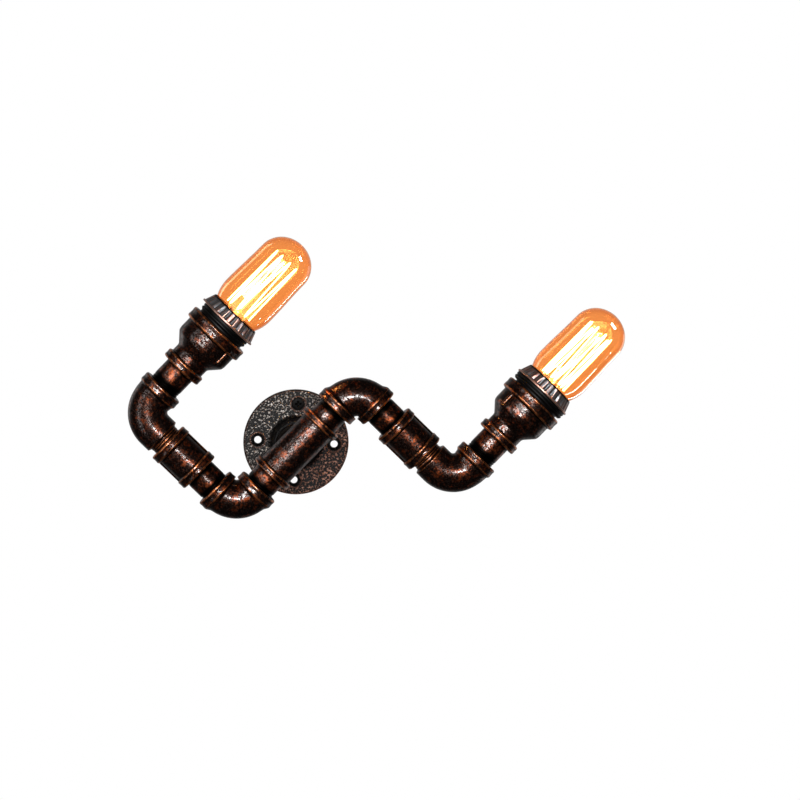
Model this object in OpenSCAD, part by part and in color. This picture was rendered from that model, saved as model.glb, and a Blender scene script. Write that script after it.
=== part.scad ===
// Industrial pipe wall light: threaded iron fittings in one plane, held off the wall
// by a round flange, with a bare tubular bulb in a lampholder at each end.
// Frame: +Z up, +X to the right seen from the room, wall at y = 0, room on the -Y side.
// The origin is the centre of the flange's back face.

/* [Layout] */
// Slope of the tee's run above level
run_tilt = 45; // [15:1:60]
// Length of pipe that shows between the tee and each inner elbow
run_show = 11.5; // [8:0.1:50]
// Length of pipe that shows between an inner elbow and its coupling
cross_show = 14.4; // [8:0.1:60]
// Length of pipe that shows between a street elbow and its reducer
lamp_show = 17; // [8:0.1:60]
// Length of pipe that shows between the flange's hub and the tee
branch_show = 11.3; // [6:0.1:40]

/* [Pipe] */
// Outside diameter of the pipe
pipe_d = 23.2; // [21.5:0.1:24]
// Bore of the pipe
pipe_bore_d = 17; // [16.8:0.1:19]
// Length of pipe that each fitting holds
engage = 8.5; // [6:0.5:9]
// Radial play in each made-up thread
thread_play = 0.05; // [0.02:0.01:0.1]
// Length left free beyond the pipe's end in each socket
run_out = 0.6; // [0.3:0.1:1.2]
// Bevel at each pipe end
pipe_bevel = 0.6; // [0.2:0.1:1]

/* [Fittings] */
// Bore through the fittings between their sockets
way_d = 17; // [16.8:0.1:18]
// Diameter of the bead round an elbow's mouth
bead_d = 31.7; // [30.5:0.1:34]
// Length of that bead
bead_len = 6.1; // [4:0.1:8]
// Length over which a bead runs down into the body
bead_blend = 2.6; // [1.5:0.1:3.5]
// How far that run-down sinks below the body's skin
bead_sink = 1; // [0.5:0.1:1.5]
// Rounded edge of each bead and band
edge_break = 0.7; // [0.3:0.1:1]
// Diameter of an elbow's body
elbow_body_d = 27.8; // [27:0.1:29]
// Radius of an elbow's bend at the middle of the pipe
elbow_bend_r = 16.6; // [15.5:0.1:18]
// Distance from an elbow's corner to its mouth
elbow_reach = 22.6; // [21.5:0.1:30]
// Distance from a street elbow's corner to its mouth
street_reach = 26.3; // [25:0.1:34]
// Diameter of a street elbow below its bead
street_neck_d = 28.8; // [28:0.1:30]
// Distance from a street elbow's corner to the end of its body on the tail side
street_body_reach = 24.9; // [22:0.1:28]
// Distance from a street elbow's corner to the coupling's face
street_face = 29; // [27:0.1:40]

/* [Coupling] */
// Length of a coupling
coupling_len = 32; // [26:0.5:40]
// Diameter of a coupling's end bands
coupling_band_d = 31.6; // [30:0.1:34]
// Length of each end band
coupling_band_len = 6.2; // [4:0.1:8]
// Diameter of a coupling's barrel
coupling_body_d = 27.8; // [27:0.1:29]
// Height of the ribs on couplings and reducers
rib_h = 1.1; // [0.5:0.1:1.6]
// Width of those ribs
rib_w = 3; // [2:0.1:5]

/* [Tee] */
// Length of the tee along its run
tee_len = 53.4; // [46:0.2:70]
// Diameter of the tee's barrel
tee_body_d = 26.6; // [26:0.1:28]
// Diameter of the tee's bands
tee_band_d = 31.4; // [30:0.1:34]
// Length of each band
tee_band_len = 4.6; // [3:0.1:7]
// Distance from the tee's run axis to the mouth of its branch
tee_branch_reach = 26.7; // [24:0.1:30]
// Diameter of the branch below its band
tee_branch_d = 25.8; // [25:0.1:26.4]

/* [Reducer] */
// Diameter of the small band
red_small_d = 32.1; // [30:0.1:34]
// Length of the small band
red_small_len = 5.9; // [4:0.1:8]
// Diameter of the neck
red_neck_d = 27.6; // [27:0.1:29]
// Length of the neck
red_neck_len = 7.2; // [6.5:0.1:10]
// Length of the flare between neck and body
red_flare_len = 8.1; // [7:0.1:12]
// Length of the wide body
red_body_len = 10.8; // [9:0.1:20]
// Diameter of the large band
red_big_d = 47.6; // [45.5:0.1:52]
// Length of the large band
red_big_len = 8; // [6:0.1:12]
// Softening of the flare's two ends
red_soft = 1; // [0.5:0.1:1.5]
// Wall of the wide body
red_wall = 2.9; // [2.4:0.1:3.2]
// Thickness of the shelf that the lampholder stands on
red_shelf_t = 2.5; // [2:0.1:3]
// Turn of the ribs on the left reducer about its axis
red_turn_left = -44; // [-180:1:180]
// Turn of the ribs on the right reducer about its axis
red_turn_right = -139; // [-180:1:180]

/* [Wall flange] */
// Diameter of the flange
flange_d = 78; // [72:0.5:100]
// Thickness of the flange's plate
flange_t = 5; // [4:0.1:8]
// Bevel round the plate's front edge
flange_bevel = 0.8; // [0.4:0.1:1.5]
// Height of the hub above the wall
hub_h = 18; // [16:0.1:22]
// Diameter of the hub's front face
hub_d = 32.6; // [31:0.1:35]
// Diameter of the hub where it meets the plate
hub_base_d = 37.4; // [36:0.1:42]
// Length of the fillet round the hub's foot
hub_fillet = 2; // [1:0.1:3]
// Diameter of the cable hole in the back of the hub
cable_hole_d = 18; // [17:0.1:20]
// Diameter of the circle that the four screw holes lie on
hole_circle_d = 56.6; // [54:0.2:64]
// Diameter of each screw hole
hole_d = 5.4; // [4.8:0.1:6]
// Diameter of each countersink at the plate's face
sink_d = 9.4; // [8.5:0.1:10.5]
// Turn of the hole pattern about the flange's axis
hole_turn = -4; // [-20:1:20]

/* [Flange screw] */
// Diameter of the screw's head
screw_head_d = 8.9; // [8:0.1:9.2]
// Diameter of the screw's shank
screw_shank_d = 4.2; // [3.5:0.1:4.6]
// Length of the screw from its head to its point
screw_len = 20; // [12:1:40]
// Length of the screw's point
screw_point_len = 4; // [2:0.5:6]
// Width of each arm of the cross recess
recess_w = 1.3; // [0.8:0.1:1.6]
// Length across the cross recess
recess_len = 4.6; // [3:0.1:5]
// Depth of the cross recess
recess_depth = 1.2; // [0.8:0.1:1.4]

/* [Lampholder] */
// Wall of the lampholder round its brass screw shell
holder_wall = 4.25; // [3.6:0.05:5]
// Play between the lampholder and the reducer's bore
holder_play = 0.2; // [0.1:0.05:0.4]
// Diameter of the narrow collar above the reducer
holder_collar_d = 38.4; // [37:0.1:41]
// Length of that collar
holder_collar_len = 1.5; // [1:0.1:3]
// Gap between the collar and the reducer's rim
holder_lift = 0.3; // [0.1:0.1:1]
// Diameter of the shoulder on the left lampholder
holder_shoulder_left_d = 41; // [40.5:0.1:46]
// Diameter of the shoulder on the right lampholder
holder_shoulder_right_d = 45; // [40.5:0.1:46]
// Length of the shoulder
holder_shoulder_len = 4.8; // [3:0.1:7]
// Bevel under the shoulder
holder_bevel = 1; // [0.5:0.1:1.3]
// Outside diameter of the threaded skirt
skirt_d = 37.2; // [36.4:0.1:37.6]
// Bore of the skirt
skirt_bore_d = 34; // [33.6:0.1:34.6]
// Length of the skirt above the shoulder
skirt_len = 5.7; // [4:0.1:6.5]
// Depth of the skirt's bore
skirt_depth = 4.6; // [4:0.1:6]
// Thickness of the lampholder's floor
holder_floor_t = 3.6; // [3:0.1:4]

/* [Shade ring] */
// Diameter of the ring's lip
lip_d = 46.7; // [45:0.1:52]
// Thickness of the lip
lip_t = 1.4; // [1:0.1:2.5]
// Diameter of the ring just above the lip
ring_base_d = 44.4; // [42:0.1:46]
// Diameter of the ring's mouth
ring_mouth_d = 39.6; // [39.2:0.1:41]
// Height of the whole ring
ring_h = 9.2; // [8:0.1:12]
// Gap between the ring and the lampholder, radially and below
ring_gap = 0.3; // [0.2:0.05:0.4]
// Number of flutes round the ring
flutes = 24; // [16:1:28]
// Depth of a flute above the lip
flute_base_depth = 1.3; // [0.6:0.1:1.5]
// Depth of a flute at the mouth
flute_mouth_depth = 0.4; // [0.2:0.1:0.5]
// Angle between a flute's floor line and each flank
flute_angle = 52; // [30:1:56]

/* [Contacts] */
// Thickness of the block that carries the contacts
block_t = 2.4; // [2.2:0.1:3]
// Inside diameter of the brass screw shell
shell_bore_d = 26.7; // [26.6:0.02:27]
// Wall of the screw shell
shell_wall = 0.4; // [0.3:0.05:0.6]
// Width of the inward lip at the shell's foot
shell_lip = 1.5; // [1:0.1:2]
// Gap between the shell's mouth and the foot of the skirt's bore
shell_short = 0.6; // [0.3:0.1:1.5]
// Thickness of the centre contact's strip
tongue_t = 0.4; // [0.3:0.05:0.5]
// Width of that strip
tongue_w = 5; // [3.5:0.1:6]
// Length of that strip
tongue_len = 15; // [12:0.5:18]
// Height of the strip's raised middle above the block
tongue_rise = 0.9; // [0.8:0.1:1.2]
// Length of the raised middle
tongue_top_len = 5; // [4:0.5:7]
// Gap between the centre contact and the bulb at rest
touch_gap = 0.3; // [0.2:0.05:0.4]
// Diameter of a terminal screw's head
terminal_head_d = 4; // [3:0.1:4.5]
// Height of that head
terminal_head_h = 1.1; // [0.8:0.1:1.2]
// Diameter of a terminal screw's shank
terminal_shank_d = 2; // [1.5:0.1:2.4]
// Length of that shank
terminal_shank_len = 1.6; // [1:0.1:1.8]
// Distance of each terminal screw from the lamp's axis
terminal_r = 8; // [7:0.1:9]
// Width of a terminal screw's slot
terminal_slot_w = 0.7; // [0.5:0.1:1]
// Depth of a terminal screw's slot
terminal_slot_depth = 0.5; // [0.3:0.1:0.7]

/* [Fixing] */
// Outside diameter of the hollow tube that holds the lampholder
fixing_d = 10; // [9.6:0.1:10.4]
// Bore of that tube
fixing_bore_d = 7.8; // [7.4:0.1:8.2]
// Length of the tube below the shelf
fixing_drop = 6.5; // [5.5:0.1:10]
// Length of the tube held in the lampholder's floor
fixing_grip = 2.8; // [2:0.1:3]
// Diameter of the washer under the shelf
washer_d = 22.4; // [20:0.1:23]
// Thickness of that washer
washer_t = 1; // [0.8:0.1:1.5]
// Width across the flats of the lock nut
nut_flats = 13.8; // [13:0.1:14.2]
// Thickness of the lock nut
nut_t = 3; // [2.5:0.1:4]

/* [Bulb] */
// Diameter of the bulb at its widest
bulb_d = 42.7; // [40:0.1:44]
// Diameter of the bulb where its dome starts
bulb_top_d = 40.8; // [38:0.1:42]
// Length from the foot of the cap to the top of the glass
bulb_len = 101.3; // [92:0.5:120]
// Height of the dome
dome_h = 18.9; // [15:0.1:21]
// Distance from the cap's rim to the widest place
shoulder_len = 19.9; // [19:0.1:24]
// Thickness of the glass
glass_t = 1; // [0.7:0.1:1.3]
// Length of glass neck inside the cap
neck_len = 4; // [3:0.5:6]
// Diameter of the cap over its thread
cap_d = 26.1; // [26:0.05:26.2]
// Length from the foot of the bulb to the cap's rim
cap_len = 26.9; // [26.4:0.1:27.4]
// Wall of the cap
cap_wall = 0.4; // [0.3:0.05:0.5]
// Height of the cap's lower cone
cap_cone_h = 2.4; // [2:0.1:3]
// Diameter of the cap's foot
cap_foot_d = 19; // [18:0.1:20]
// Height of the dark insulator between the cap and its tip
insulator_h = 3.2; // [2.8:0.1:3.6]
// Diameter of the insulator's foot
insulator_foot_d = 10.4; // [10:0.1:12]
// Diameter of the tip contact
tip_d = 9; // [8:0.1:9.6]
// Height of the tip contact
tip_h = 1.2; // [1:0.1:1.4]
// Diameter of the tip contact's rivet
rivet_d = 3; // [2:0.1:4]
// Length of that rivet
rivet_len = 2; // [1.5:0.1:2.4]
// Play round the rivet and above the tip
rivet_play = 0.06; // [0.04:0.01:0.09]

/* [Filament] */
// Diameter of the glass rod that carries the hooks
rod_d = 3; // [2:0.1:4]
// Diameter of the stem below the rod
stem_d = 7; // [6:0.1:9]
// Height of the stem's flared foot
stem_flare_h = 7; // [5:0.5:9]
// Height of the stem above its flared foot
stem_h = 5; // [4:0.5:10]
// Diameter of the glass buttons that hold the hooks
button_d = 5; // [4.5:0.1:7]
// Height of each button
button_h = 3; // [2:0.1:4]
// Gap between the filament's top and the inside of the dome
filament_clear = 14; // [10:0.5:20]
// Diameter of the filament's cage
cage_d = 21; // [16:0.5:26]
// Number of filament loops
loops = 8; // [5:1:10]
// Diameter of the filament
filament_d = 0.7; // [0.5:0.1:0.9]
// Diameter of the hook wires
hook_d = 0.6; // [0.4:0.1:0.8]
// Gap between a hook's end and the middle of the filament
hook_gap = 0.7; // [0.6:0.05:0.9]
// Part of a turn that the cage leaves open, in degrees
cage_open = 24; // [16:1:40]

/* [Leads] */
// Diameter of each insulated lead
lead_d = 2.2; // [1.8:0.1:2.4]
// Distance between the two leads of a lamp
lead_pitch = 3.3; // [3:0.1:3.6]
// Radius of the leads' bend into the branch
lead_bend_r = 6; // [5:0.5:7]
// Length of lead held in the contact block
lead_end = 1.4; // [1:0.1:1.8]
// Play round each lead in the contact block
lead_play = 0.1; // [0.05:0.05:0.2]
// Distance from the wall to the leads' ends
lead_tail = 0.5; // [0.3:0.1:3]

/* [Hidden] */
$fn = 64;
over = 1;
tiny_edge = 0.3;
strands_fn = 6;
lead_sides = 8;
bend_steps = 6;
loop_steps = 10;
curve_steps = 9;
iron = [0.20, 0.12, 0.09];
iron_dark = [0.16, 0.13, 0.12];
phenolic = [0.05, 0.05, 0.05];
brass = [0.78, 0.62, 0.32];
copper = [0.62, 0.38, 0.27];
amber = [0.95, 0.55, 0.22, 0.45];

// Sockets and leads
socket_d = pipe_d + 2 * thread_play;
socket_depth = engage + run_out;

// Distance from the wall to the plane that holds every pipe axis
stand_off = hub_h + branch_show + tee_branch_reach;
// Distance from the tee's centre to the corner of an inner elbow
run_half = tee_len / 2 + run_show + elbow_reach;
// Distance from the corner of an inner elbow to the corner of a street elbow
cross_len = elbow_reach + cross_show + coupling_len + street_face;
// Distance from the corner of a street elbow to the lower face of a reducer
lamp_len = street_reach + lamp_show;

// Directions and corners in the pipe plane, as [x, z]
function dir(a) = [cos(a), sin(a)];
function side_sign(side) = side == "left" ? -1 : 1;
function inner_corner(side) = side_sign(side) * run_half * dir(run_tilt);
function cross_heading(side) = run_tilt - 90 * side_sign(side);
function outer_corner(side) = inner_corner(side) + cross_len * dir(cross_heading(side));
function reducer_foot(side) = outer_corner(side) + lamp_len * dir(run_tilt);

// Heights along a lamp, from the reducer's lower face
red_z1 = red_small_len;
red_z2 = red_z1 + red_neck_len;
red_z3 = red_z2 + red_flare_len;
red_z4 = red_z3 + red_body_len;
red_h = red_z4 + red_big_len;
shelf_z = engage + nut_t + washer_t;
shelf_top = shelf_z + red_shelf_t;
shell_d = shell_bore_d + 2 * shell_wall;
holder_body_d = shell_d + 2 * holder_wall;
red_bore_d = holder_body_d + 2 * holder_play;
red_body_d = red_bore_d + 2 * red_wall;
flare_rise = (red_body_d - red_neck_d) / 2;
cavity_foot_d = red_bore_d - 2 * flare_rise * (red_z3 + red_soft - shelf_top) / red_flare_len;
holder_foot_d = cavity_foot_d - 2 * holder_play;
collar_z = red_h + holder_lift;
shoulder_z = collar_z + holder_collar_len;
shoulder_top = shoulder_z + holder_shoulder_len;
skirt_top = shoulder_top + skirt_len;
skirt_foot = skirt_top - skirt_depth;
floor_top = shelf_top + holder_floor_t;
block_top = floor_top + block_t;
shell_top = skirt_foot - shell_short;
bulb_z = block_top + tongue_rise + touch_gap;
cap_rim_z = bulb_z + cap_len;
wide_z = cap_rim_z + shoulder_len;
bulb_top_z = bulb_z + bulb_len;
dome_z = bulb_top_z - dome_h;
ring_z = shoulder_top + ring_gap;
ring_top = ring_z + ring_h;
ring_bore_d = skirt_d + 2 * ring_gap;
block_d = shell_d;
stem_z = cap_rim_z - neck_len + tiny_edge;
stem_top = stem_z + stem_flare_h + stem_h;
filament_top = bulb_top_z - glass_t - filament_clear;
filament_foot = stem_top + button_h / 2;
hook_top_z = filament_top - button_h;
rod_top = hook_top_z + button_h / 2;

SIDES = ["left", "right"];

// Places its children at a point of the pipe plane with local +Z along heading a,
// local +X a quarter turn clockwise from it, and local +Y towards the wall.
module on_axis(p, a) {
    translate([p.x, -stand_off, p.y])
        rotate([0, 90 - a, 0])
            children();
}

// Places its children at a lamp, with z = 0 at the reducer's lower face.
module at_lamp(side) {
    on_axis(reducer_foot(side), run_tilt)
        children();
}

// A solid of revolution from points given as [diameter, height].
module turned(points) {
    rotate_extrude()
        polygon([for (p = points) [p.x / 2, p.y]]);
}

// A cylinder between two heights.
module rod(d, z_low, z_high) {
    translate([0, 0, z_low])
        cylinder(d = d, h = z_high - z_low);
}

// A piece of pipe between two heights, bevelled at both ends.
module pipe(z_low, z_high) {
    turned([
        [pipe_bore_d, z_low],
        [pipe_d - 2 * pipe_bevel, z_low],
        [pipe_d, z_low + pipe_bevel],
        [pipe_d, z_high - pipe_bevel],
        [pipe_d - 2 * pipe_bevel, z_high],
        [pipe_bore_d, z_high]
    ]);
}

// A quarter of a ring in the plane of an elbow, from local +Z to local +X.
module quarter_bend(d) {
    translate([elbow_bend_r, 0, elbow_bend_r])
        rotate([90, 180, 0])
            rotate_extrude(angle = 90)
                translate([elbow_bend_r, 0])
                    circle(d = d);
}

// Swaps local X and Z, so that a leg on +Z comes to lie on +X.
module second_leg() {
    mirror([1, 0, -1])
        children();
}

// The bead of an elbow with the run-down that grows out of its body.
module elbow_mouth(reach, neck_d) {
    bead_z = reach - bead_len;
    turned([
        [0, bead_z - bead_blend],
        [neck_d - 2 * bead_sink, bead_z - bead_blend],
        [bead_d - 2 * edge_break, bead_z],
        [bead_d, bead_z + edge_break],
        [bead_d, reach - edge_break],
        [bead_d - 2 * edge_break, reach],
        [0, reach]
    ]);
}

// The threaded socket in a fitting's mouth.
module socket(reach) {
    rod(socket_d, reach - socket_depth, reach + over);
}

// An elbow with a female mouth on +Z and on +X.
module elbow() {
    difference() {
        union() {
            quarter_bend(elbow_body_d);
            elbow_mouth(elbow_reach, elbow_body_d);
            second_leg()
                elbow_mouth(elbow_reach, elbow_body_d);
        }
        quarter_bend(way_d);
        socket(elbow_reach);
        second_leg()
            socket(elbow_reach);
    }
}

// A street elbow with its female mouth on +Z and its male tail on +X.
module street_elbow_body() {
    tail_end = street_face + engage;
    neck_z = elbow_bend_r - bead_sink;
    difference() {
        union() {
            quarter_bend(elbow_body_d);
            turned([
                [0, neck_z - bead_blend],
                [elbow_body_d - 2 * bead_sink, neck_z - bead_blend],
                [street_neck_d, neck_z + bead_sink],
                [street_neck_d, street_reach - bead_len - bead_sink],
                [bead_d - 2 * edge_break, street_reach - bead_len],
                [bead_d, street_reach - bead_len + edge_break],
                [bead_d, street_reach - edge_break],
                [bead_d - 2 * edge_break, street_reach],
                [0, street_reach]
            ]);
            second_leg()
                turned([
                    [0, neck_z - bead_blend],
                    [elbow_body_d - 2 * bead_sink, neck_z - bead_blend],
                    [street_neck_d - bead_sink, neck_z + bead_sink],
                    [street_neck_d - bead_sink, street_body_reach - bead_sink],
                    [pipe_d, street_body_reach],
                    [pipe_d, tail_end - pipe_bevel],
                    [pipe_d - 2 * pipe_bevel, tail_end],
                    [0, tail_end]
                ]);
        }
        quarter_bend(way_d);
        rod(way_d - thread_play, elbow_bend_r - thread_play, street_reach);
        socket(street_reach);
        second_leg()
            rod(way_d - thread_play, elbow_bend_r - thread_play, tail_end + over);
    }
}

// A row of ribs on a barrel, on opposite sides.
module ribs(d, z_low, z_high) {
    for (turn = [0, 180])
        rotate([0, 0, turn])
            translate([0, -rib_w / 2, z_low])
                cube([d / 2 + rib_h, rib_w, z_high - z_low]);
}

// Fittings and pipes

module wall_flange() {
    color(iron_dark)
        rotate([90, 0, 0])
            difference() {
                turned([
                    [0, 0],
                    [flange_d, 0],
                    [flange_d, flange_t - flange_bevel],
                    [flange_d - 2 * flange_bevel, flange_t],
                    [hub_base_d + 2 * hub_fillet, flange_t],
                    [hub_base_d, flange_t + hub_fillet],
                    [hub_d, hub_h - edge_break],
                    [hub_d - 2 * edge_break, hub_h],
                    [0, hub_h]
                ]);
                rod(cable_hole_d, -over, hub_h);
                socket(hub_h);
                for (turn = [0 : 90 : 270])
                    rotate([0, 0, turn + hole_turn])
                        translate([hole_circle_d / 2, 0, 0])
                            screw_hole();
            }
}

// A plain hole with a countersink down to half the plate's thickness.
module screw_hole() {
    sink_slope = (sink_d - hole_d) / flange_t;
    rod(hole_d, -over, flange_t);
    translate([0, 0, flange_t / 2])
        cylinder(d1 = hole_d, d2 = sink_d + 2 * over * sink_slope, h = flange_t / 2 + over);
}

module flange_screw() {
    sink_slope = (sink_d - hole_d) / flange_t;
    head_h = (screw_head_d - screw_shank_d) / 2 / sink_slope;
    head_top = flange_t - (sink_d - screw_head_d) / 2 / sink_slope;
    color(phenolic)
        rotate([90, 0, 0])
            rotate([0, 0, 90 + hole_turn])
                translate([hole_circle_d / 2, 0, 0])
                    difference() {
                        turned([
                            [0, head_top],
                            [screw_head_d - thread_play, head_top],
                            [screw_shank_d, head_top - head_h],
                            [screw_shank_d, head_top - screw_len + screw_point_len],
                            [0, head_top - screw_len]
                        ]);
                        for (turn = [0, 90])
                            rotate([0, 0, turn])
                                translate([-recess_len / 2, -recess_w / 2, head_top - recess_depth])
                                    cube([recess_len, recess_w, recess_depth + over]);
                    }
}

module branch_nipple() {
    color(iron)
        rotate([90, 0, 0])
            pipe(hub_h - engage, stand_off - tee_branch_reach + engage);
}

module tee_band(z_low, z_high) {
    turned([
        [0, z_low],
        [tee_band_d - 2 * edge_break, z_low],
        [tee_band_d, z_low + edge_break],
        [tee_band_d, z_high - edge_break],
        [tee_band_d - 2 * edge_break, z_high],
        [0, z_high]
    ]);
}

module tee() {
    color(iron)
        on_axis([0, 0], run_tilt)
            difference() {
                union() {
                    rod(tee_body_d, -tee_len / 2 + edge_break, tee_len / 2 - edge_break);
                    tee_band(-tee_len / 2, tee_band_len - tee_len / 2);
                    tee_band(tee_len / 2 - tee_band_len, tee_len / 2);
                    rotate([-90, 0, 0]) {
                        rod(tee_branch_d, 0, tee_branch_reach - edge_break);
                        tee_band(tee_branch_reach - tee_band_len, tee_branch_reach);
                    }
                }
                rod(way_d, -tee_len / 2, tee_len / 2);
                for (turn = [0, 180])
                    rotate([turn, 0, 0])
                        socket(tee_len / 2);
                rotate([-90, 0, 0]) {
                    rod(way_d - tiny_edge, 0, tee_branch_reach);
                    socket(tee_branch_reach);
                }
            }
}

module tee_nipple(side) {
    color(iron)
        on_axis([0, 0], side == "left" ? run_tilt + 180 : run_tilt)
            pipe(tee_len / 2 - engage, run_half - elbow_reach + engage);
}

module inner_elbow(side) {
    color(iron)
        on_axis(inner_corner(side), cross_heading(side))
            elbow();
}

module cross_nipple(side) {
    color(iron)
        on_axis(inner_corner(side), cross_heading(side))
            pipe(elbow_reach - engage, cross_len - street_face - coupling_len + engage);
}

module coupling(side) {
    half = coupling_len / 2;
    band_z = half - coupling_band_len;
    color(iron)
        on_axis(inner_corner(side), cross_heading(side))
            translate([0, 0, cross_len - street_face - half])
                difference() {
                    union() {
                        turned([
                            [0, -half],
                            [coupling_band_d - 2 * edge_break, -half],
                            [coupling_band_d, edge_break - half],
                            [coupling_band_d, -band_z - edge_break],
                            [coupling_body_d, -band_z + edge_break],
                            [coupling_body_d, band_z - edge_break],
                            [coupling_band_d, band_z + edge_break],
                            [coupling_band_d, half - edge_break],
                            [coupling_band_d - 2 * edge_break, half],
                            [0, half]
                        ]);
                        ribs(coupling_body_d, -band_z - edge_break, band_z + edge_break);
                    }
                    rod(way_d, -half, half);
                    for (turn = [0, 180])
                        rotate([turn, 0, 0])
                            socket(half);
                }
}

module street_elbow(side) {
    color(iron)
        on_axis(outer_corner(side), side == "left" ? run_tilt : run_tilt + 90)
            if (side == "left")
                street_elbow_body();
            else
                second_leg()
                    street_elbow_body();
}

module lamp_nipple(side) {
    color(iron)
        on_axis(outer_corner(side), run_tilt)
            pipe(street_reach - engage, lamp_len + engage);
}

module reducer(side) {
    color(iron)
        at_lamp(side)
            difference() {
                union() {
                    turned([
                        [0, 0],
                        [red_small_d - 2 * edge_break, 0],
                        [red_small_d, edge_break],
                        [red_small_d, red_z1 - edge_break],
                        [red_small_d - 2 * edge_break, red_z1],
                        [red_neck_d, red_z1 + edge_break],
                        [red_neck_d, red_z2 - red_soft / 2],
                        [red_neck_d + red_soft, red_z2 + red_soft / 2],
                        [red_body_d - red_soft, red_z3 - red_soft / 2],
                        [red_body_d, red_z3 + red_soft],
                        [red_body_d, red_z4 - red_soft],
                        [red_big_d - 2 * edge_break, red_z4],
                        [red_big_d, red_z4 + edge_break],
                        [red_big_d, red_h - edge_break],
                        [red_big_d - 2 * edge_break, red_h],
                        [0, red_h]
                    ]);
                    rotate([0, 0, side == "left" ? red_turn_left : red_turn_right])
                        ribs(red_body_d, red_z3, red_z4);
                }
                rod(socket_d, -over, shelf_z);
                rod(way_d, 0, red_h);
                turned([
                    [0, shelf_top],
                    [cavity_foot_d, shelf_top],
                    [red_bore_d, red_z3 + red_soft],
                    [red_bore_d, red_h + over],
                    [0, red_h + over]
                ]);
            }
}

// Lampholder and its fixing

module lampholder(side) {
    shoulder_d = side == "left" ? holder_shoulder_left_d : holder_shoulder_right_d;
    color(phenolic)
        at_lamp(side)
            difference() {
                turned([
                    [0, shelf_top],
                    [holder_foot_d, shelf_top],
                    [holder_body_d, red_z3 + red_soft],
                    [holder_body_d, collar_z],
                    [holder_collar_d, collar_z],
                    [holder_collar_d, shoulder_z],
                    [shoulder_d - 2 * holder_bevel, shoulder_z],
                    [shoulder_d, shoulder_z + holder_bevel],
                    [shoulder_d, shoulder_top],
                    [skirt_d, shoulder_top],
                    [skirt_d, skirt_top - tiny_edge],
                    [skirt_d - 2 * tiny_edge, skirt_top],
                    [skirt_bore_d, skirt_top],
                    [skirt_bore_d, skirt_foot],
                    [0, skirt_foot]
                ]);
                rod(shell_d + 2 * thread_play, floor_top, skirt_foot + over);
                rod(fixing_d + 2 * thread_play, shelf_top - over, floor_top + over);
            }
}

module fixing_tube(side) {
    color(brass)
        at_lamp(side)
            turned([
                [fixing_bore_d, shelf_z - fixing_drop],
                [fixing_d, shelf_z - fixing_drop],
                [fixing_d, shelf_top + fixing_grip],
                [fixing_bore_d, shelf_top + fixing_grip]
            ]);
}

module fixing_washer(side) {
    color(iron_dark)
        at_lamp(side)
            difference() {
                rod(washer_d, shelf_z - washer_t, shelf_z);
                rod(fixing_d + 2 * thread_play, shelf_z - washer_t - over, shelf_z + over);
            }
}

module fixing_nut(side) {
    color(brass)
        at_lamp(side)
            difference() {
                translate([0, 0, shelf_z - washer_t - nut_t])
                    cylinder(d = nut_flats / cos(30), h = nut_t, $fn = 6);
                rod(fixing_d + 2 * thread_play, shelf_z - washer_t - nut_t - over, shelf_z);
            }
}

module contact_block(side) {
    color("ivory")
        at_lamp(side)
            difference() {
                rod(block_d, floor_top, block_top);
                for (k = [-1, 1]) {
                    translate([0, k * lead_pitch / 2, 0])
                        rod(lead_d + 2 * lead_play, floor_top - over, floor_top + lead_end + lead_play);
                    translate([k * terminal_r, 0, 0])
                        rod(terminal_shank_d, block_top - terminal_shank_len, block_top + over);
                }
            }
}

module screw_shell(side) {
    color(brass)
        at_lamp(side)
            turned([
                [shell_bore_d - 2 * shell_lip, block_top],
                [shell_d, block_top],
                [shell_d, shell_top],
                [shell_bore_d, shell_top],
                [shell_bore_d, block_top + shell_wall],
                [shell_bore_d - 2 * shell_lip, block_top + shell_wall]
            ]);
}

module centre_contact(side) {
    ramp = tongue_top_len / 2 + tongue_rise;
    color(brass)
        at_lamp(side)
            translate([0, 0, block_top])
                rotate([90, 0, 90])
                    linear_extrude(height = tongue_w, center = true)
                        polygon([
                            [-tongue_len / 2, 0],
                            [-ramp, 0],
                            [-tongue_top_len / 2, tongue_rise - tongue_t],
                            [tongue_top_len / 2, tongue_rise - tongue_t],
                            [ramp, 0],
                            [tongue_len / 2, 0],
                            [tongue_len / 2, tongue_t],
                            [ramp - tongue_t / 2, tongue_t],
                            [tongue_top_len / 2, tongue_rise],
                            [-tongue_top_len / 2, tongue_rise],
                            [tongue_t / 2 - ramp, tongue_t],
                            [-tongue_len / 2, tongue_t]
                        ]);
}

module terminal_screws(side) {
    color(brass)
        at_lamp(side)
            for (k = [-1, 1])
                translate([k * terminal_r, 0, block_top])
                    difference() {
                        union() {
                            rod(terminal_head_d, 0, terminal_head_h);
                            rod(terminal_shank_d, -terminal_shank_len, 0);
                        }
                        translate([
                            -terminal_head_d,
                            -terminal_slot_w / 2,
                            terminal_head_h - terminal_slot_depth
                        ])
                            cube([2 * terminal_head_d, terminal_slot_w, terminal_slot_depth + over]);
                    }
}

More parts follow.
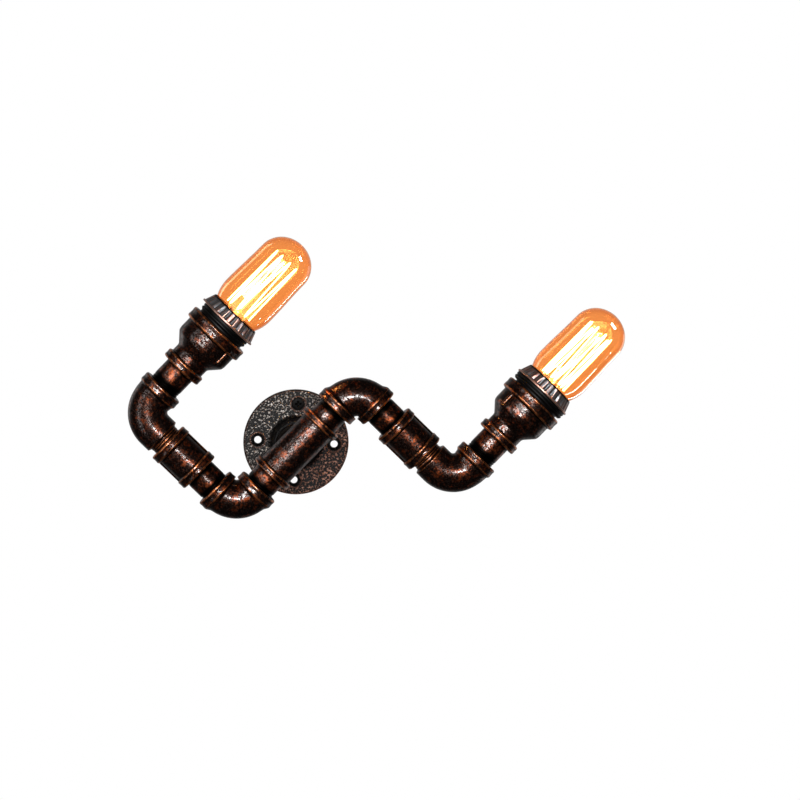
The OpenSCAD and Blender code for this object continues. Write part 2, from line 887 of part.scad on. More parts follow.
module shade_ring(side) {
    bottom = ring_z + lip_t;
    floor_base_r = ring_base_d / 2 - flute_base_depth;
    floor_mouth_r = ring_mouth_d / 2 - flute_mouth_depth;
    floor_lean = atan2(floor_base_r - floor_mouth_r, ring_top - bottom);
    flank = lip_d / 2 - floor_mouth_r;
    color(copper)
        at_lamp(side)
            difference() {
                turned([
                    [ring_bore_d, ring_z],
                    [lip_d - 2 * tiny_edge, ring_z],
                    [lip_d, ring_z + tiny_edge],
                    [lip_d, bottom - tiny_edge],
                    [ring_base_d, bottom],
                    [ring_mouth_d, ring_top - tiny_edge],
                    [ring_mouth_d - 2 * tiny_edge, ring_top],
                    [ring_bore_d, ring_top]
                ]);
                for (i = [0 : flutes - 1])
                    rotate([0, 0, 360 * i / flutes])
                        translate([floor_base_r, 0, bottom])
                            rotate([0, -floor_lean, 0])
                                linear_extrude(height = ring_h)
                                    polygon([
                                        [0, 0],
                                        [flank, flank * tan(flute_angle)],
                                        [flank, -flank * tan(flute_angle)]
                                    ]);
            }
}

// Bulb

// Outer radius of the glass less an inset, at height z between the rim and the dome.
function shoulder_r(z) =
    let (
        wide_r = bulb_d / 2,
        half_axis = shoulder_len / sqrt(1 - pow(cap_d / bulb_d, 2))
    )
    wide_r * sqrt(1 - pow((wide_z - z) / half_axis, 2));

function glass_points(inset) = concat(
    [for (i = [0 : curve_steps])
        let (z = cap_rim_z + shoulder_len * i / curve_steps)
        [2 * (shoulder_r(z) - inset), z]],
    [for (i = [0 : curve_steps])
        let (a = 90 * i / curve_steps)
        [(bulb_top_d - 2 * inset) * cos(a), dome_z + (dome_h - inset) * sin(a)]]
);

module bulb_glass(side) {
    outside = glass_points(0);
    inside = glass_points(glass_t);
    neck_d = cap_d - 2 * cap_wall - 2 * thread_play;
    neck_z = cap_rim_z - neck_len;
    color(amber)
        at_lamp(side)
            turned(concat(
                [[neck_d - 2 * glass_t, neck_z], [neck_d, neck_z], [neck_d, cap_rim_z]],
                outside,
                [for (i = [len(inside) - 1 : -1 : 0]) inside[i]]
            ));
}

module bulb_cap(side) {
    foot_z = bulb_z + insulator_h;
    color(brass)
        at_lamp(side)
            turned([
                [cap_foot_d - 2 * cap_wall, foot_z],
                [cap_foot_d, foot_z],
                [cap_d, foot_z + cap_cone_h],
                [cap_d, cap_rim_z - tiny_edge],
                [cap_d - 2 * cap_wall, cap_rim_z - tiny_edge],
                [cap_d - 2 * cap_wall, foot_z + cap_cone_h + cap_wall],
                [cap_foot_d - 2 * cap_wall, foot_z + cap_wall]
            ]);
}

module cap_insulator(side) {
    inside_d = cap_foot_d - 2 * cap_wall - thread_play;
    color(phenolic)
        at_lamp(side)
            difference() {
                turned([
                    [0, bulb_z + tip_h + rivet_play],
                    [insulator_foot_d, bulb_z + tip_h + rivet_play],
                    [inside_d, bulb_z + insulator_h],
                    [inside_d, bulb_z + insulator_h + cap_wall],
                    [0, bulb_z + insulator_h + cap_wall + rivet_len / 2]
                ]);
                rod(rivet_d + 2 * rivet_play, bulb_z, bulb_z + tip_h + rivet_len + rivet_play);
            }
}

module tip_contact(side) {
    color("silver")
        at_lamp(side)
            turned([
                [0, bulb_z],
                [tip_d / 2, bulb_z],
                [tip_d, bulb_z + tip_h / 2],
                [tip_d, bulb_z + tip_h],
                [rivet_d, bulb_z + tip_h],
                [rivet_d, bulb_z + tip_h + rivet_len],
                [0, bulb_z + tip_h + rivet_len]
            ]);
}

module bulb_stem(side) {
    foot_d = cap_d - 2 * cap_wall - 4 * thread_play - 2 * glass_t;
    color(amber)
        at_lamp(side)
            turned([
                [0, stem_z],
                [foot_d, stem_z],
                [stem_d, stem_z + stem_flare_h],
                [stem_d, stem_top - stem_d / 2],
                [rod_d, stem_top - tiny_edge],
                [rod_d, stem_top],
                [button_d, stem_top + tiny_edge],
                [button_d, stem_top + button_h - tiny_edge],
                [rod_d, stem_top + button_h],
                [rod_d, rod_top - button_h],
                [button_d, rod_top - button_h + tiny_edge],
                [button_d, rod_top - tiny_edge],
                [0, rod_top]
            ]);
}

// The filament's middle line: a long wave wound round a cage.
function cage_turn(t) = cage_open / 2 + (360 - cage_open) * t;
function filament_point(t) =
    let (
        mid = (filament_top + filament_foot) / 2,
        reach = (filament_top - filament_foot) / 2,
        a = cage_turn(t)
    )
    [cage_d / 2 * cos(a), cage_d / 2 * sin(a), mid - reach * cos(360 * loops * t)];

// Least gap between two places on the filament that lie two or more rings apart.
function filament_gap() =
    let (
        steps = loops * loop_steps,
        points = [for (i = [0 : steps]) filament_point(i / steps)]
    )
    min([for (i = [0 : steps - 2]) for (j = [i + 2 : steps]) norm(points[i] - points[j])]) - filament_d;

// A ring of points round p, square to the direction t, with one axis along u.
function ring_of(p, t, u, d, sides) =
    let (v = cross(t, u) / norm(cross(t, u)), w = cross(v, t) / norm(cross(v, t)))
    [for (k = [0 : sides - 1]) p + d / 2 * (cos(360 * k / sides) * w + sin(360 * k / sides) * v)];

// A closed skin of triangles over rings that have the same number of points.
module skin(rings) {
    n = len(rings[0]);
    last = len(rings) - 1;
    polyhedron(
        points = [for (ring = rings) for (p = ring) p],
        faces = concat(
            [for (k = [1 : n - 2]) [0, k, k + 1]],
            [for (i = [0 : last - 1]) for (k = [0 : n - 1])
                [i * n + k, (i + 1) * n + k, i * n + (k + 1) % n]],
            [for (i = [0 : last - 1]) for (k = [0 : n - 1])
                [i * n + (k + 1) % n, (i + 1) * n + k, (i + 1) * n + (k + 1) % n]],
            [for (k = [1 : n - 2]) [last * n, last * n + k + 1, last * n + k]]
        )
    );
}

echo(filament_gap = filament_gap());

module filament(side) {
    steps = loops * loop_steps;
    step = 1 / steps / loops;
    color("gold")
        at_lamp(side)
            skin([for (i = [0 : steps])
                let (t = i / steps, a = cage_turn(t))
                ring_of(
                    filament_point(t),
                    filament_point(t + step) - filament_point(t - step),
                    [cos(a), sin(a), 0],
                    filament_d,
                    strands_fn
                )]);
}

// Hooks run from the buttons to each top and foot of the filament.
module filament_hooks(side) {
    top_z = rod_top - button_h / 2;
    foot_z = stem_top + button_h / 2;
    hook_start = button_d / 2 + thread_play;
    hook_end = cage_d / 2 - hook_gap;
    color("silver")
        at_lamp(side) {
            for (i = [0 : loops - 1])
                rotate([0, 0, cage_turn((i + 1 / 2) / loops)])
                    hook(hook_start, top_z, hook_end, filament_top - hook_gap);
            for (i = [0 : loops])
                rotate([0, 0, cage_turn(i / loops)])
                    hook(hook_start, foot_z, hook_end, filament_foot);
        }
}

// A straight wire from one radius and height to another.
module hook(r_start, z_start, r_end, z_end) {
    translate([r_start, 0, z_start])
        rotate([0, atan2(r_end - r_start, z_end - z_start), 0])
            cylinder(d = hook_d, h = norm([r_end - r_start, z_end - z_start]));
}

// Leads: stations are [point in the pipe plane, depth from that plane, heading, pitch]

function bend_stations(corner, a, hand, depth) =
    let (centre = corner - elbow_bend_r * dir(a) + elbow_bend_r * dir(a + 90 * hand))
    [for (i = [0 : bend_steps])
        let (turn = 90 * hand * i / bend_steps)
        [centre + elbow_bend_r * dir(a + turn - 90 * hand), depth, a + turn, 0]];

function lead_stations(side, k) =
    let (
        down = run_tilt + 180,
        depth = k * lead_pitch / 2,
        top = reducer_foot(side) + (floor_top + lead_end) * dir(run_tilt),
        hand = -side_sign(side),
        cross_a = down + 90 * hand,
        run_a = side == "left" ? run_tilt + 360 : down,
        stop = lead_pitch * (1 + k / 2)
    )
    concat(
        [[top, depth, down, 0]],
        bend_stations(outer_corner(side), down, hand, depth),
        bend_stations(inner_corner(side), cross_a, 1, depth),
        [for (i = [0 : bend_steps])
            let (pitch = 90 * i / bend_steps)
            [(lead_bend_r * sin(pitch) - lead_bend_r - stop) * dir(run_a),
             depth + lead_bend_r * (1 - cos(pitch)), run_a, pitch]],
        [[-stop * dir(run_a), stand_off - lead_tail, run_a, 90]]
    );

function station_ring(s) =
    let (
        p = [s[0].x, s[1] - stand_off, s[0].y],
        ahead = [cos(s[2]), 0, sin(s[2])],
        t = cos(s[3]) * ahead + sin(s[3]) * [0, 1, 0],
        u = cos(s[3]) * [0, 1, 0] - sin(s[3]) * ahead
    )
    ring_of(p, t, u, lead_d, lead_sides);

module lead(side, k) {
    skin([for (s = lead_stations(side, k)) station_ring(s)]);
}

module live_lead(side) {
    color("brown")
        lead(side, -1);
}

module neutral_lead(side) {
    color("steelblue")
        lead(side, 1);
}

wall_flange();
flange_screw();
branch_nipple();
tee();
for (side = SIDES) {
    tee_nipple(side);
    inner_elbow(side);
    cross_nipple(side);
    coupling(side);
    street_elbow(side);
    lamp_nipple(side);
    reducer(side);
    lampholder(side);
    shade_ring(side);
    contact_block(side);
    screw_shell(side);
    centre_contact(side);
    terminal_screws(side);
    fixing_tube(side);
    fixing_washer(side);
    fixing_nut(side);
    live_lead(side);
    neutral_lead(side);
    bulb_glass(side);
    bulb_cap(side);
    cap_insulator(side);
    tip_contact(side);
    bulb_stem(side);
    filament(side);
    filament_hooks(side);
}
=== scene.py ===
# %% [markdown]
# Industrial pipe wall light
#
# The light is made of threaded pipe fittings: a tee stands off a round wall flange, and
# short pipes, elbows and couplings carry a lamp to each side. Its paint is near black and
# rubbed to copper along the edges and in patches. Each lamp ends in a black lampholder, a
# fluted ring and a short tubular bulb whose filament is wound like a cage.
#
# The exact construction comes in as a fixed frame. This script dresses it with rounded
# castings, threads and flutes, and gives it finishes made from noise, edges and bumps.

from math import acos, ceil, copysign, cos, pi, radians, sin, sqrt, tan
import bmesh
import bpy
import numpy as np
from mathutils import Matrix, Vector


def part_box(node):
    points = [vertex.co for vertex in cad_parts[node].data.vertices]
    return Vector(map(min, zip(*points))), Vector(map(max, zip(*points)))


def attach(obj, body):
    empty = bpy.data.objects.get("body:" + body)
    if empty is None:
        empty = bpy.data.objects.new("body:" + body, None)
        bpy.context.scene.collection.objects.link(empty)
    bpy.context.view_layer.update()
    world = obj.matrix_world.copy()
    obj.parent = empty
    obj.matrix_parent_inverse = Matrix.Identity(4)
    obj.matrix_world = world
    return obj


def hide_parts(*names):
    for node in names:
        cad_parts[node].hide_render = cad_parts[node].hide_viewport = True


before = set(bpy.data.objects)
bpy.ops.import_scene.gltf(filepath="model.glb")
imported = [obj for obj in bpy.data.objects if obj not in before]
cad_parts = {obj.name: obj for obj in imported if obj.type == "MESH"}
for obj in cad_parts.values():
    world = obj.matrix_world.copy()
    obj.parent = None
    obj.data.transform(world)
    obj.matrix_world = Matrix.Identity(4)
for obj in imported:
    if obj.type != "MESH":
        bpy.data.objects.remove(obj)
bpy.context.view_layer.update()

# %% [markdown]
# The camera
#
# The camera comes first, because it decides which details matter. The light was seen with a
# long lens, a little from the left and from above. The turn is in degrees: the first angle
# is 90 for a level view, the second rolls the camera and the third turns it to the right.

# %% The camera
CAMERA_SPOT = (-0.0116, -1.428, 0.117)
CAMERA_TURN = (86.52, 0.5, -3.61)
LENS_MM, SENSOR_MM = 86.6, 36



def add_object(name, data):
    made = bpy.data.objects.new(name, data)
    bpy.context.scene.collection.objects.link(made)
    return made


camera = add_object("camera", bpy.data.cameras.new("camera"))
camera.location = CAMERA_SPOT
camera.rotation_euler = [radians(angle) for angle in CAMERA_TURN]
camera.data.lens, camera.data.sensor_width = LENS_MM, SENSOR_MM
bpy.context.scene.camera = camera
bpy.context.scene.view_settings.view_transform = "Standard"
print("camera distance to the wall:", -CAMERA_SPOT[1])

# %% [markdown]
# Where things are
#
# Every pipe axis lies in one plane, STAND_OFF millimetres in front of the wall. A `Place` is
# a corner in that plane and a heading in degrees above level, and turns local millimetres
# into the scene's metres: local z runs along the heading, y towards the wall, x a quarter
# turn clockwise from z. The lengths run from corner to corner: half the tee's run, to the
# street elbow, to the reducer's mouth.

# %% Where things are
MM = 1000.0
SIDES = ("left", "right")
STAND_OFF, RUN_TILT = 56.0, 45
RUN_HALF, CROSS_LEN, LAMP_LEN = 60.8, 98, 43.3
SIGN = {"left": -1, "right": 1}
CROSS_TURN = {side: RUN_TILT - 90 * SIGN[side] for side in SIDES}


def heading(angle):
    return np.array([cos(radians(angle)), sin(radians(angle))])


class Place:
    """A corner and a heading in the pipe plane; swapped exchanges local x and z."""

    def __init__(self, corner, angle, swapped=False):
        across, up = heading(angle)
        axes = np.array([[up, 0, -across], [0, 1, 0], [across, 0, up]])
        self.origin = np.array([corner[0], -STAND_OFF, corner[1]])
        self.axes = axes[::-1] if swapped else axes

    def metres(self, points):
        return (self.origin + np.asarray(points) @ self.axes) / MM


class WallPlace(Place):
    """A place on the wall: local z runs from the wall into the room."""

    def __init__(self, corner=(0, 0)):
        self.origin = np.array([corner[0], 0, corner[1]])
        self.axes = np.array([[1, 0, 0], [0, 0, 1], [0, -1, 0]], float)


INNER = {side: SIGN[side] * RUN_HALF * heading(RUN_TILT) for side in SIDES}
OUTER = {side: INNER[side] + CROSS_LEN * heading(CROSS_TURN[side]) for side in SIDES}
LAMP = {side: Place(OUTER[side] + LAMP_LEN * heading(RUN_TILT), RUN_TILT) for side in SIDES}
print("street elbow corners in mm:", {side: OUTER[side].round(1) for side in SIDES})

# %% [markdown]
# Outlines with rounded corners
#
# Most pieces are turned or cast round a line, so one outline describes each of them: a list
# of corners, (radius, position along the axis, rounding). A rounded edge catches the thin
# highlight that makes a render look real, so every corner becomes a small arc. A point close
# to each end of a straight stretch keeps the shading flat between two arcs.

# %% Outlines with rounded corners
ARC_STEPS = 4
SUPPORT = 0.15
LARGEST_CUT = 0.45  # share of a stretch that one arc may take


def soften(corners):
    """Replaces each corner (r, t, rounding) by an arc and returns points (r, t)."""
    points = [np.array(corner[:2], float) for corner in corners]
    outline = []
    for i, point in enumerate(points):
        before, after = points[i - 1] - point, points[(i + 1) % len(points)] - point
        b, a = np.linalg.norm(before), np.linalg.norm(after)
        before, after = before / b, after / a
        half = acos(max(-1.0, min(1.0, float(before @ after)))) / 2
        cut = min(corners[i][2] / max(tan(half), 1e-6), LARGEST_CUT * b, LARGEST_CUT * a)
        radius = cut * tan(half)
        if radius < 1e-4 or half > pi / 2 - 0.01:
            outline.append(point)
            continue
        inward = (before + after) / np.linalg.norm(before + after)
        middle = point + inward * radius / sin(half)
        start, end = point + before * cut - middle, point + after * cut - middle
        turn = pi - 2 * half
        edge = min(SUPPORT, 0.3 * cut + 0.02)
        outline.append(middle + start + before * edge)
        for share in np.arange(ARC_STEPS + 1) / ARC_STEPS:
            weights = sin((1 - share) * turn), sin(share * turn)
            outline.append(middle + (weights[0] * start + weights[1] * end) / sin(turn))
        outline.append(middle + end + after * edge)
    return np.array(outline)


def even(outline, step):
    """Adds points so that no stretch of an outline is longer than step."""
    filled = [outline[0]]
    for point in outline[1:]:
        start = filled[-1]
        pieces = max(1, ceil(np.linalg.norm(point - start) / step))
        filled += [start + (point - start) * k / pieces for k in range(1, pieces + 1)]
    return np.array(filled)


print("points in a softened square:", len(soften([(0, 0, 1), (9, 0, 1), (9, 9, 1), (0, 9, 1)])))

# %% [markdown]
# From outline to mesh
#
# A lathe turns an outline round a straight line. An elbow does the same round a line that
# bends, so one function makes both: it puts a ring of points on a path for each outline
# point. A rib, a flute or a thread is a relief: a function of position and angle that is
# added to the radius. The outline runs out along the outside and back along the bore, so
# the mesh closes on itself like a tyre.

# %% From outline to mesh
COLUMNS, NEAR_MARK = 96, 13
FULL_TURN = 2 * pi
TO_WALL = np.array([0, 1.0, 0])


def columns(count, marks=(), half_width=0.0):
    """Angles round a ring, in radians, with more of them near the marks."""
    angles = set(np.round(np.linspace(0, FULL_TURN, count, endpoint=False), 6))
    for mark in marks:
        fine = mark + np.linspace(-half_width, half_width, NEAR_MARK)
        angles |= set(np.round(fine % FULL_TURN, 6))
    return np.array(sorted(angles))


def straight(t):
    """A path along local z: the middle of a ring, and where its angle 0 points."""
    return np.array([0, 0, t]), np.array([1.0, 0, 0])


def bent(reach, bend_r):
    """A path from an elbow's mouth along its first leg, round its bend and out along x."""
    first, arc = reach - bend_r, bend_r * pi / 2

    def path(t):
        turn = min(max(t - first, 0), arc) / bend_r
        across = np.array([cos(turn), 0, sin(turn)])
        onward = np.array([sin(turn), 0, -cos(turn)])
        beyond = min(t - first, 0) + max(t - first - arc, 0)
        return np.array([bend_r, 0, bend_r]) - across * bend_r + onward * beyond, -across

    return path


def sweep(outline, path=straight, angles=COLUMNS, relief=None):
    """Rings of points for an outline swept along a path; a count stands for even angles."""
    angles = columns(angles) if isinstance(angles, int) else angles
    rings = []
    for r, t in outline:
        centre, across = path(t)
        radii = r + (relief(r, t, angles) if relief else 0 * angles)
        sideways = np.outer(radii * np.cos(angles), across)
        rings.append(centre + sideways + np.outer(radii * np.sin(angles), TO_WALL))
    return np.array(rings)


def shaped(corners, step, **how):
    """Rings for the corners of an outline: softened, evened out and swept."""
    return sweep(even(soften(corners), step), **how)


def mesh_object(name, place, *shells, wrap=True):
    """One object from sets of rings; without wrap the first and last ring are capped."""
    points, faces = [], []
    for rings in shells:
        n, m = rings.shape[:2]
        index = sum(map(len, points)) + np.arange(n * m).reshape(n, m)
        for i in range(n if wrap else n - 1):
            a, b = index[i], index[(i + 1) % n]
            faces += np.stack([a, np.roll(a, -1), np.roll(b, -1), b], axis=1).tolist()
        if not wrap:
            faces += [index[0][::-1].tolist(), index[-1].tolist()]
        points.append(rings.reshape(-1, 3))
    mesh = bpy.data.meshes.new(name)
    mesh.from_pydata(place.metres(np.concatenate(points)).tolist(), [], faces)
    work = bmesh.new()
    work.from_mesh(mesh)
    bmesh.ops.recalc_face_normals(work, faces=work.faces)
    work.to_mesh(mesh)
    work.free()
    mesh.shade_smooth()
    return add_object(name, mesh)


# %% [markdown]
# Where the paint wears
#
# Paint rubs off on edges that stand out. How sharply a surface bulges at a point can be
# measured from its neighbours, so it is stored on the mesh as a number per point, which the
# finishes read to show copper on edges and to darken hollows. A second number, the shade, is
# mostly painted shade: it marks where a piece is painted black because it lies in shade,
# whatever the shape, and in a thread it also stands for glaze.

# %% Where the paint wears
SHARPEST = 3.0  # the most that a bulge counts, in 1/mm
PLACED = []


def rows(items, field, width, kind=np.float32):
    """A table of one field of a mesh's points or edges."""
    flat = np.empty(len(items) * width, dtype=kind)
    items.foreach_get(field, flat)
    return flat.reshape(-1, width)


def store(mesh, name, numbers):
    layer = mesh.attributes.new(name, "FLOAT", "POINT")
    layer.data.foreach_set("value", numbers.astype(np.float32))


def mark_edges(piece):
    """Stores how sharply the surface bulges, in 1/mm, as the attribute edge_wear."""
    mesh = piece.data
    points = rows(mesh.vertices, "co", 3).astype(float) * MM
    normals = rows(mesh.vertices, "normal", 3).astype(float)
    ends = rows(mesh.edges, "vertices", 2, np.int32)
    total, count = np.zeros(len(points)), np.zeros(len(points))
    for a, b in (ends.T, ends.T[::-1]):
        gap = points[a] - points[b]
        rise = np.einsum("ij,ij->i", normals[a], gap)
        bulge = 2 * rise / np.maximum((gap**2).sum(axis=1), 1e-6)
        np.add.at(total, a, np.clip(bulge, -SHARPEST, SHARPEST))
        np.add.at(count, a, 1)
    store(mesh, "edge_wear", total / np.maximum(count, 1))


def mark_shade(piece, place, rule):
    """Stores rule(x, y, z) of the local millimetres as the attribute shade."""
    points = rows(piece.data.vertices, "co", 3).astype(float) * MM
    store(piece.data, "shade", rule(*((points - place.origin) @ place.axes.T).T))


def fit(piece, body, slot, paint, *nodes):
    """Puts a finished piece on its body in place of its nodes, and compares their boxes."""
    mark_edges(piece)
    piece.data.materials.clear()
    piece.data.materials.append(paint)
    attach(piece, body)
    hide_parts(*nodes)
    corners = np.array([tuple(corner) for corner in piece.bound_box])
    cad = np.array([tuple(corner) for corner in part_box(nodes[0])])
    off = np.abs([corners.min(axis=0) - cad[0], corners.max(axis=0) - cad[1]]).max() * MM
    PLACED.append((piece.name, round(float(off), 3)))
    print(f"{piece.name}: {len(piece.data.vertices)} points, box within {off:.2f} mm of its node")


def dress(name, place, body, slot, paint, node, *shells, wrap=True, shade=None):
    """Builds a piece, marks its shade and fits it."""
    piece = mesh_object(name, place, *shells, wrap=wrap)
    if shade:
        mark_shade(piece, place, shade)
    fit(piece, body, slot, paint, node)


def lamp_piece(side, name, body, slot, paint, node, rings, **more):
    """Dresses one piece of a lamp; its name, its node and a moving body carry the side."""
    body = body if body == "root" else f"{body}_{side}"
    dress(f"{name}_{side}", LAMP[side], body, slot, paint, f"{node}_{side}", rings, **more)


# %% [markdown]
# Writing finishes as sums
#
# A finish is a small program: noise here, an edge there, mixed and clamped. In Blender each
# sum is a node, which soon hides the idea. So a `Value` stands for a node's output, and
# adding, subtracting or multiplying values adds Math nodes behind the scenes. Colours and
# vectors go through nodes of their own, because a Math node would turn a colour grey. A plain
# colour is three steps of a screen, from 0 to 255.

# %% Writing finishes as sums
class Value:
    """A number that varies over a surface."""

    def __init__(self, recipe, socket):
        self.recipe, self.socket = recipe, socket

    def _sum(self, operation, first, second):
        return self.recipe.node("ShaderNodeMath", {"operation": operation}, {0: first, 1: second})

    def __add__(self, other):
        return self._sum("ADD", self, other)

    def __radd__(self, other):
        return self._sum("ADD", other, self)

    def __sub__(self, other):
        return self._sum("SUBTRACT", self, other)

    def __rsub__(self, other):
        return self._sum("SUBTRACT", other, self)

    def __mul__(self, other):
        return self._sum("MULTIPLY", self, other)

    def __rmul__(self, other):
        return self._sum("MULTIPLY", other, self)

    def larger(self, other):
        return self._sum("MAXIMUM", self, other)


class Recipe:
    """A node tree and the few kinds of node that the finishes need."""

    def __init__(self, tree):
        self.tree = tree

    def node(self, kind, settings=None, values=None, output=0):
        """Adds a node, sets its settings and then its sockets, and returns one output."""
        made = self.tree.nodes.new(kind)
        for key, setting in (settings or {}).items():
            setattr(made, key, setting)
        self.fill(made, values or {})
        return Value(self, made.outputs[output])

    def fill(self, made, values):
        for key, value in values.items():
            if isinstance(value, Value):
                self.tree.links.new(value.socket, made.inputs[key])
            else:
                plain_value = shader_colour(value) if isinstance(value, tuple) else value
                made.inputs[key].default_value = plain_value

    def beside(self, value, output):
        """Another output of the node that a value comes from."""
        return Value(self, value.socket.node.outputs[output])

    def stored(self, name):
        """A number that the mesh keeps for each of its points."""
        return self.node("ShaderNodeAttribute", {"attribute_name": name}, output="Fac")

    def vector(self, operation, values, output=0):
        return self.node("ShaderNodeVectorMath", {"operation": operation}, values, output)

    def place_mm(self):
        """Position on the object, in millimetres."""
        place = self.node("ShaderNodeTexCoord", output="Object")
        return self.vector("SCALE", {0: place, "Scale": MM})

    def noise(self, place, size_mm, detail=2.0, roughness=0.5):
        """Soft noise between 0 and 1 whose blotches are about size_mm across."""
        values = {"Vector": place, "Scale": 1 / size_mm, "Detail": detail, "Roughness": roughness}
        return self.node("ShaderNodeTexNoise", {}, values)

    def ease(self, value, low, high, start=0.0, end=1.0):
        """A soft step from start to end as value goes from low to high."""
        values = {0: value, 1: low, 2: high, 3: start, 4: end}
        return self.node("ShaderNodeMapRange", {"interpolation_type": "SMOOTHSTEP"}, values)

    def mix(self, factor, first, second):
        values = {0: factor, 6: first, 7: second}
        return self.node("ShaderNodeMix", {"data_type": "RGBA"}, values, output=2)

    def bump(self, height, depth_mm, strength=1.0, under=None):
        values = {"Height": height, "Strength": strength, "Distance": depth_mm / MM}
        if under is not None:
            values["Normal"] = under
        return self.node("ShaderNodeBump", {}, values)


def finish(name):
    """A new material with its recipe and its surface shader."""
    material = bpy.data.materials.new(name)
    material.use_nodes = True
    return material, Recipe(material.node_tree), material.node_tree.nodes["Principled BSDF"]


def shader_colour(steps):
    """The shader's linear values for a colour in the steps of a screen."""
    linear = [((c / 255 + 0.055) / 1.055) ** 2.4 if c > 10 else c / 255 / 12.92 for c in steps]
    return (*linear, 1.0)


print("mid grey of a screen in the shader:", round(shader_colour([128])[0], 3))

# %% [markdown]
# Antique bronze on cast iron
#
# The real finish is rough iron, a thin coppery metal paint, and a black glaze that is wiped
# off the high spots. It glows orange-brown where light comes back to the eye, is black
# everywhere else, and sparkles along a narrow pale streak.
#
# So the body is nearly pure metal, which shows its colour only in its reflections, and that
# colour drifts between glaze and copper. The sparkle is a clear coat on the raised grains
# alone. The stored bulge rubs the edges to copper and leaves black glaze in the hollows. The
# stored shade, painted shade and glaze in threads, paints the iron near black there, without
# copper or sparkle. One bump stands for the swell of the casting, a second for sand and brush
# marks.

# %% Antique bronze on cast iron
BLOTCH_MM, DAB_MM, SWELL_MM, GRAIN_MM = 4.5, 1.5, 3.5, 0.9
# The first colour is near black, for glaze in hollows and for painted shade.
GLAZE_AND_SHADE_BLACK, FLECK = (5, 3, 2), (214, 152, 126)


def bronzed(name, glaze, glow, rubbed, patches, depth_mm):
    """Dark metal paint rubbed to copper; patches from 0 to 1 says how much copper shows."""
    material, r, surface = finish(name)
    place = r.place_mm()
    wear, shade = r.stored("edge_wear"), r.stored("shade")
    blotch = r.noise(place, BLOTCH_MM, 2.0, 0.6)
    dab = r.noise(place, DAB_MM, 3.0, 0.7)
    sand = r.noise(place, GRAIN_MM, 3.0, 0.8)
    wipe = r.ease(blotch * 0.6 + dab * 0.5, 0.72 - 0.4 * patches, 0.98 - 0.4 * patches)
    # Where the stored shade is set, sparkle and copper are taken out: painted shade.
    grain = r.ease(sand + (dab - 0.5) * 0.2, 0.50, 0.55) * (1 - shade)
    rim = r.ease(wear, 0.16, 0.32) * (1 - 0.9 * r.ease(wear, 0.55, 0.9))
    edge = rim * r.ease(dab + (blotch - 0.5) * 0.9, 0.30, 0.66) * (1 - shade)
    # The hollows keep black glaze; the stored shade adds painted shade in the same near black.
    hollow = r.ease(wear * -1, 0.05, 0.35).larger(shade)
    glazed_and_shaded = r.mix(hollow, r.mix(wipe, glaze, glow), GLAZE_AND_SHADE_BLACK)
    swell = r.bump(r.noise(place, SWELL_MM, 2.0), 0.2, 0.4)
    r.fill(surface, {
        "Base Color": r.mix(edge, r.mix(grain * 0.06, glazed_and_shaded, FLECK), rubbed),
        "Metallic": 0.92,
        "Roughness": 0.34 - 0.06 * edge,
        "Normal": r.bump(sand + dab * 0.6, depth_mm, 1.0, swell),
        "Coat Weight": grain * (1 - hollow),
        "Coat Roughness": 0.19,
        "Coat IOR": 1.9,
        "Specular IOR Level": 0.2,
    })
    return material


IRON = bronzed("bronzed_iron", (27, 12, 8), (164, 76, 34), (212, 124, 70), 0.45, 0.14)
PIPE = bronzed("bronzed_pipe", (33, 15, 9), (182, 88, 42), (202, 116, 66), 0.55, 0.11)
print("finishes:", IRON.name, PIPE.name)

# %% [markdown]
# Elbows
#
# A malleable elbow is a bent tube with a band round each mouth, which keeps the thin wall
# from splitting. The band's middle is a little hollow, so its two rims rub bright and the
# strip between them stays dark. The other fittings share its parts: the mouth, the mirrored
# second end, and the bore with a wider socket at each end for the pipe.

# %% Elbows
PIPE_R, BORE_R, SOCKET_R = 11.6, 8.5, 11.65
ENGAGE, SOCKET_DEPTH = 8.5, 9.1
BAND_R, BAND_LEN, BAND_DIP = 15.85, 6.1, 0.28
BEND_R, ELBOW_R, ELBOW_REACH = 16.6, 13.9, 22.6
LIP, CRISP, SOFT, HOLLOW = 0.3, 0.2, 1.3, 4.0  # roundings of edges and of a band's middle


def mouth(end, radius, band, dip=BAND_DIP):
    """Corners of a mouth and its band, from the face at end towards the inside."""
    half = [(SOCKET_R, 0, LIP), (radius, 0, SOFT)]
    half += [(radius - dip, band / 2, HOLLOW), (radius, band, SOFT)]
    return [(r, end - t if end else t, rounding) for r, t, rounding in half]


def mirrored(half, middle=0):
    """Corners of one end, followed by the same corners of the other end."""
    return half + [(r, 2 * middle - t, rounding) for r, t, rounding in reversed(half)]


def crisp(*spots):
    return [(*spot, CRISP) for spot in spots]


def bore(far, near):
    """Corners of the inside, from the far mouth's socket to the near one's."""
    depth = copysign(SOCKET_DEPTH, near - far)
    a, b = far + depth, near - depth
    return crisp((SOCKET_R, a), (BORE_R, a), (BORE_R, b), (SOCKET_R, b))


for side in SIDES:
    length = 2 * (ELBOW_REACH - BEND_R) + BEND_R * pi / 2
    half = mouth(0, BAND_R, BAND_LEN) + [(ELBOW_R, BAND_LEN + 2.0, 1.8)]
    skin = mirrored(half, length / 2) + bore(length, 0)
    rings = shaped(skin, 1.6, path=bent(ELBOW_REACH, BEND_R))
    place = Place(INNER[side], CROSS_TURN[side])
    dress(f"elbow_casting_{side}", place, "root", "pipe_iron", IRON, f"inner_elbow_{side}", rings)

# %% [markdown]
# Street elbows
#
# A street elbow has one female mouth and one male tail, so it can screw straight into
# another fitting. Its mouth flares out like a trumpet, and a few turns of thread show where
# the tail enters the coupling. The right one mirrors the left one, so its place is swapped.

# %% Street elbows
STREET_REACH, STREET_FACE, STREET_BODY = 26.3, 29.0, 24.9
PITCH, THREAD_DEPTH, TAIL_DEPTH, THREAD_FADE, CHAMFER = 1.814, 0.6, 0.55, 1.6, 0.6


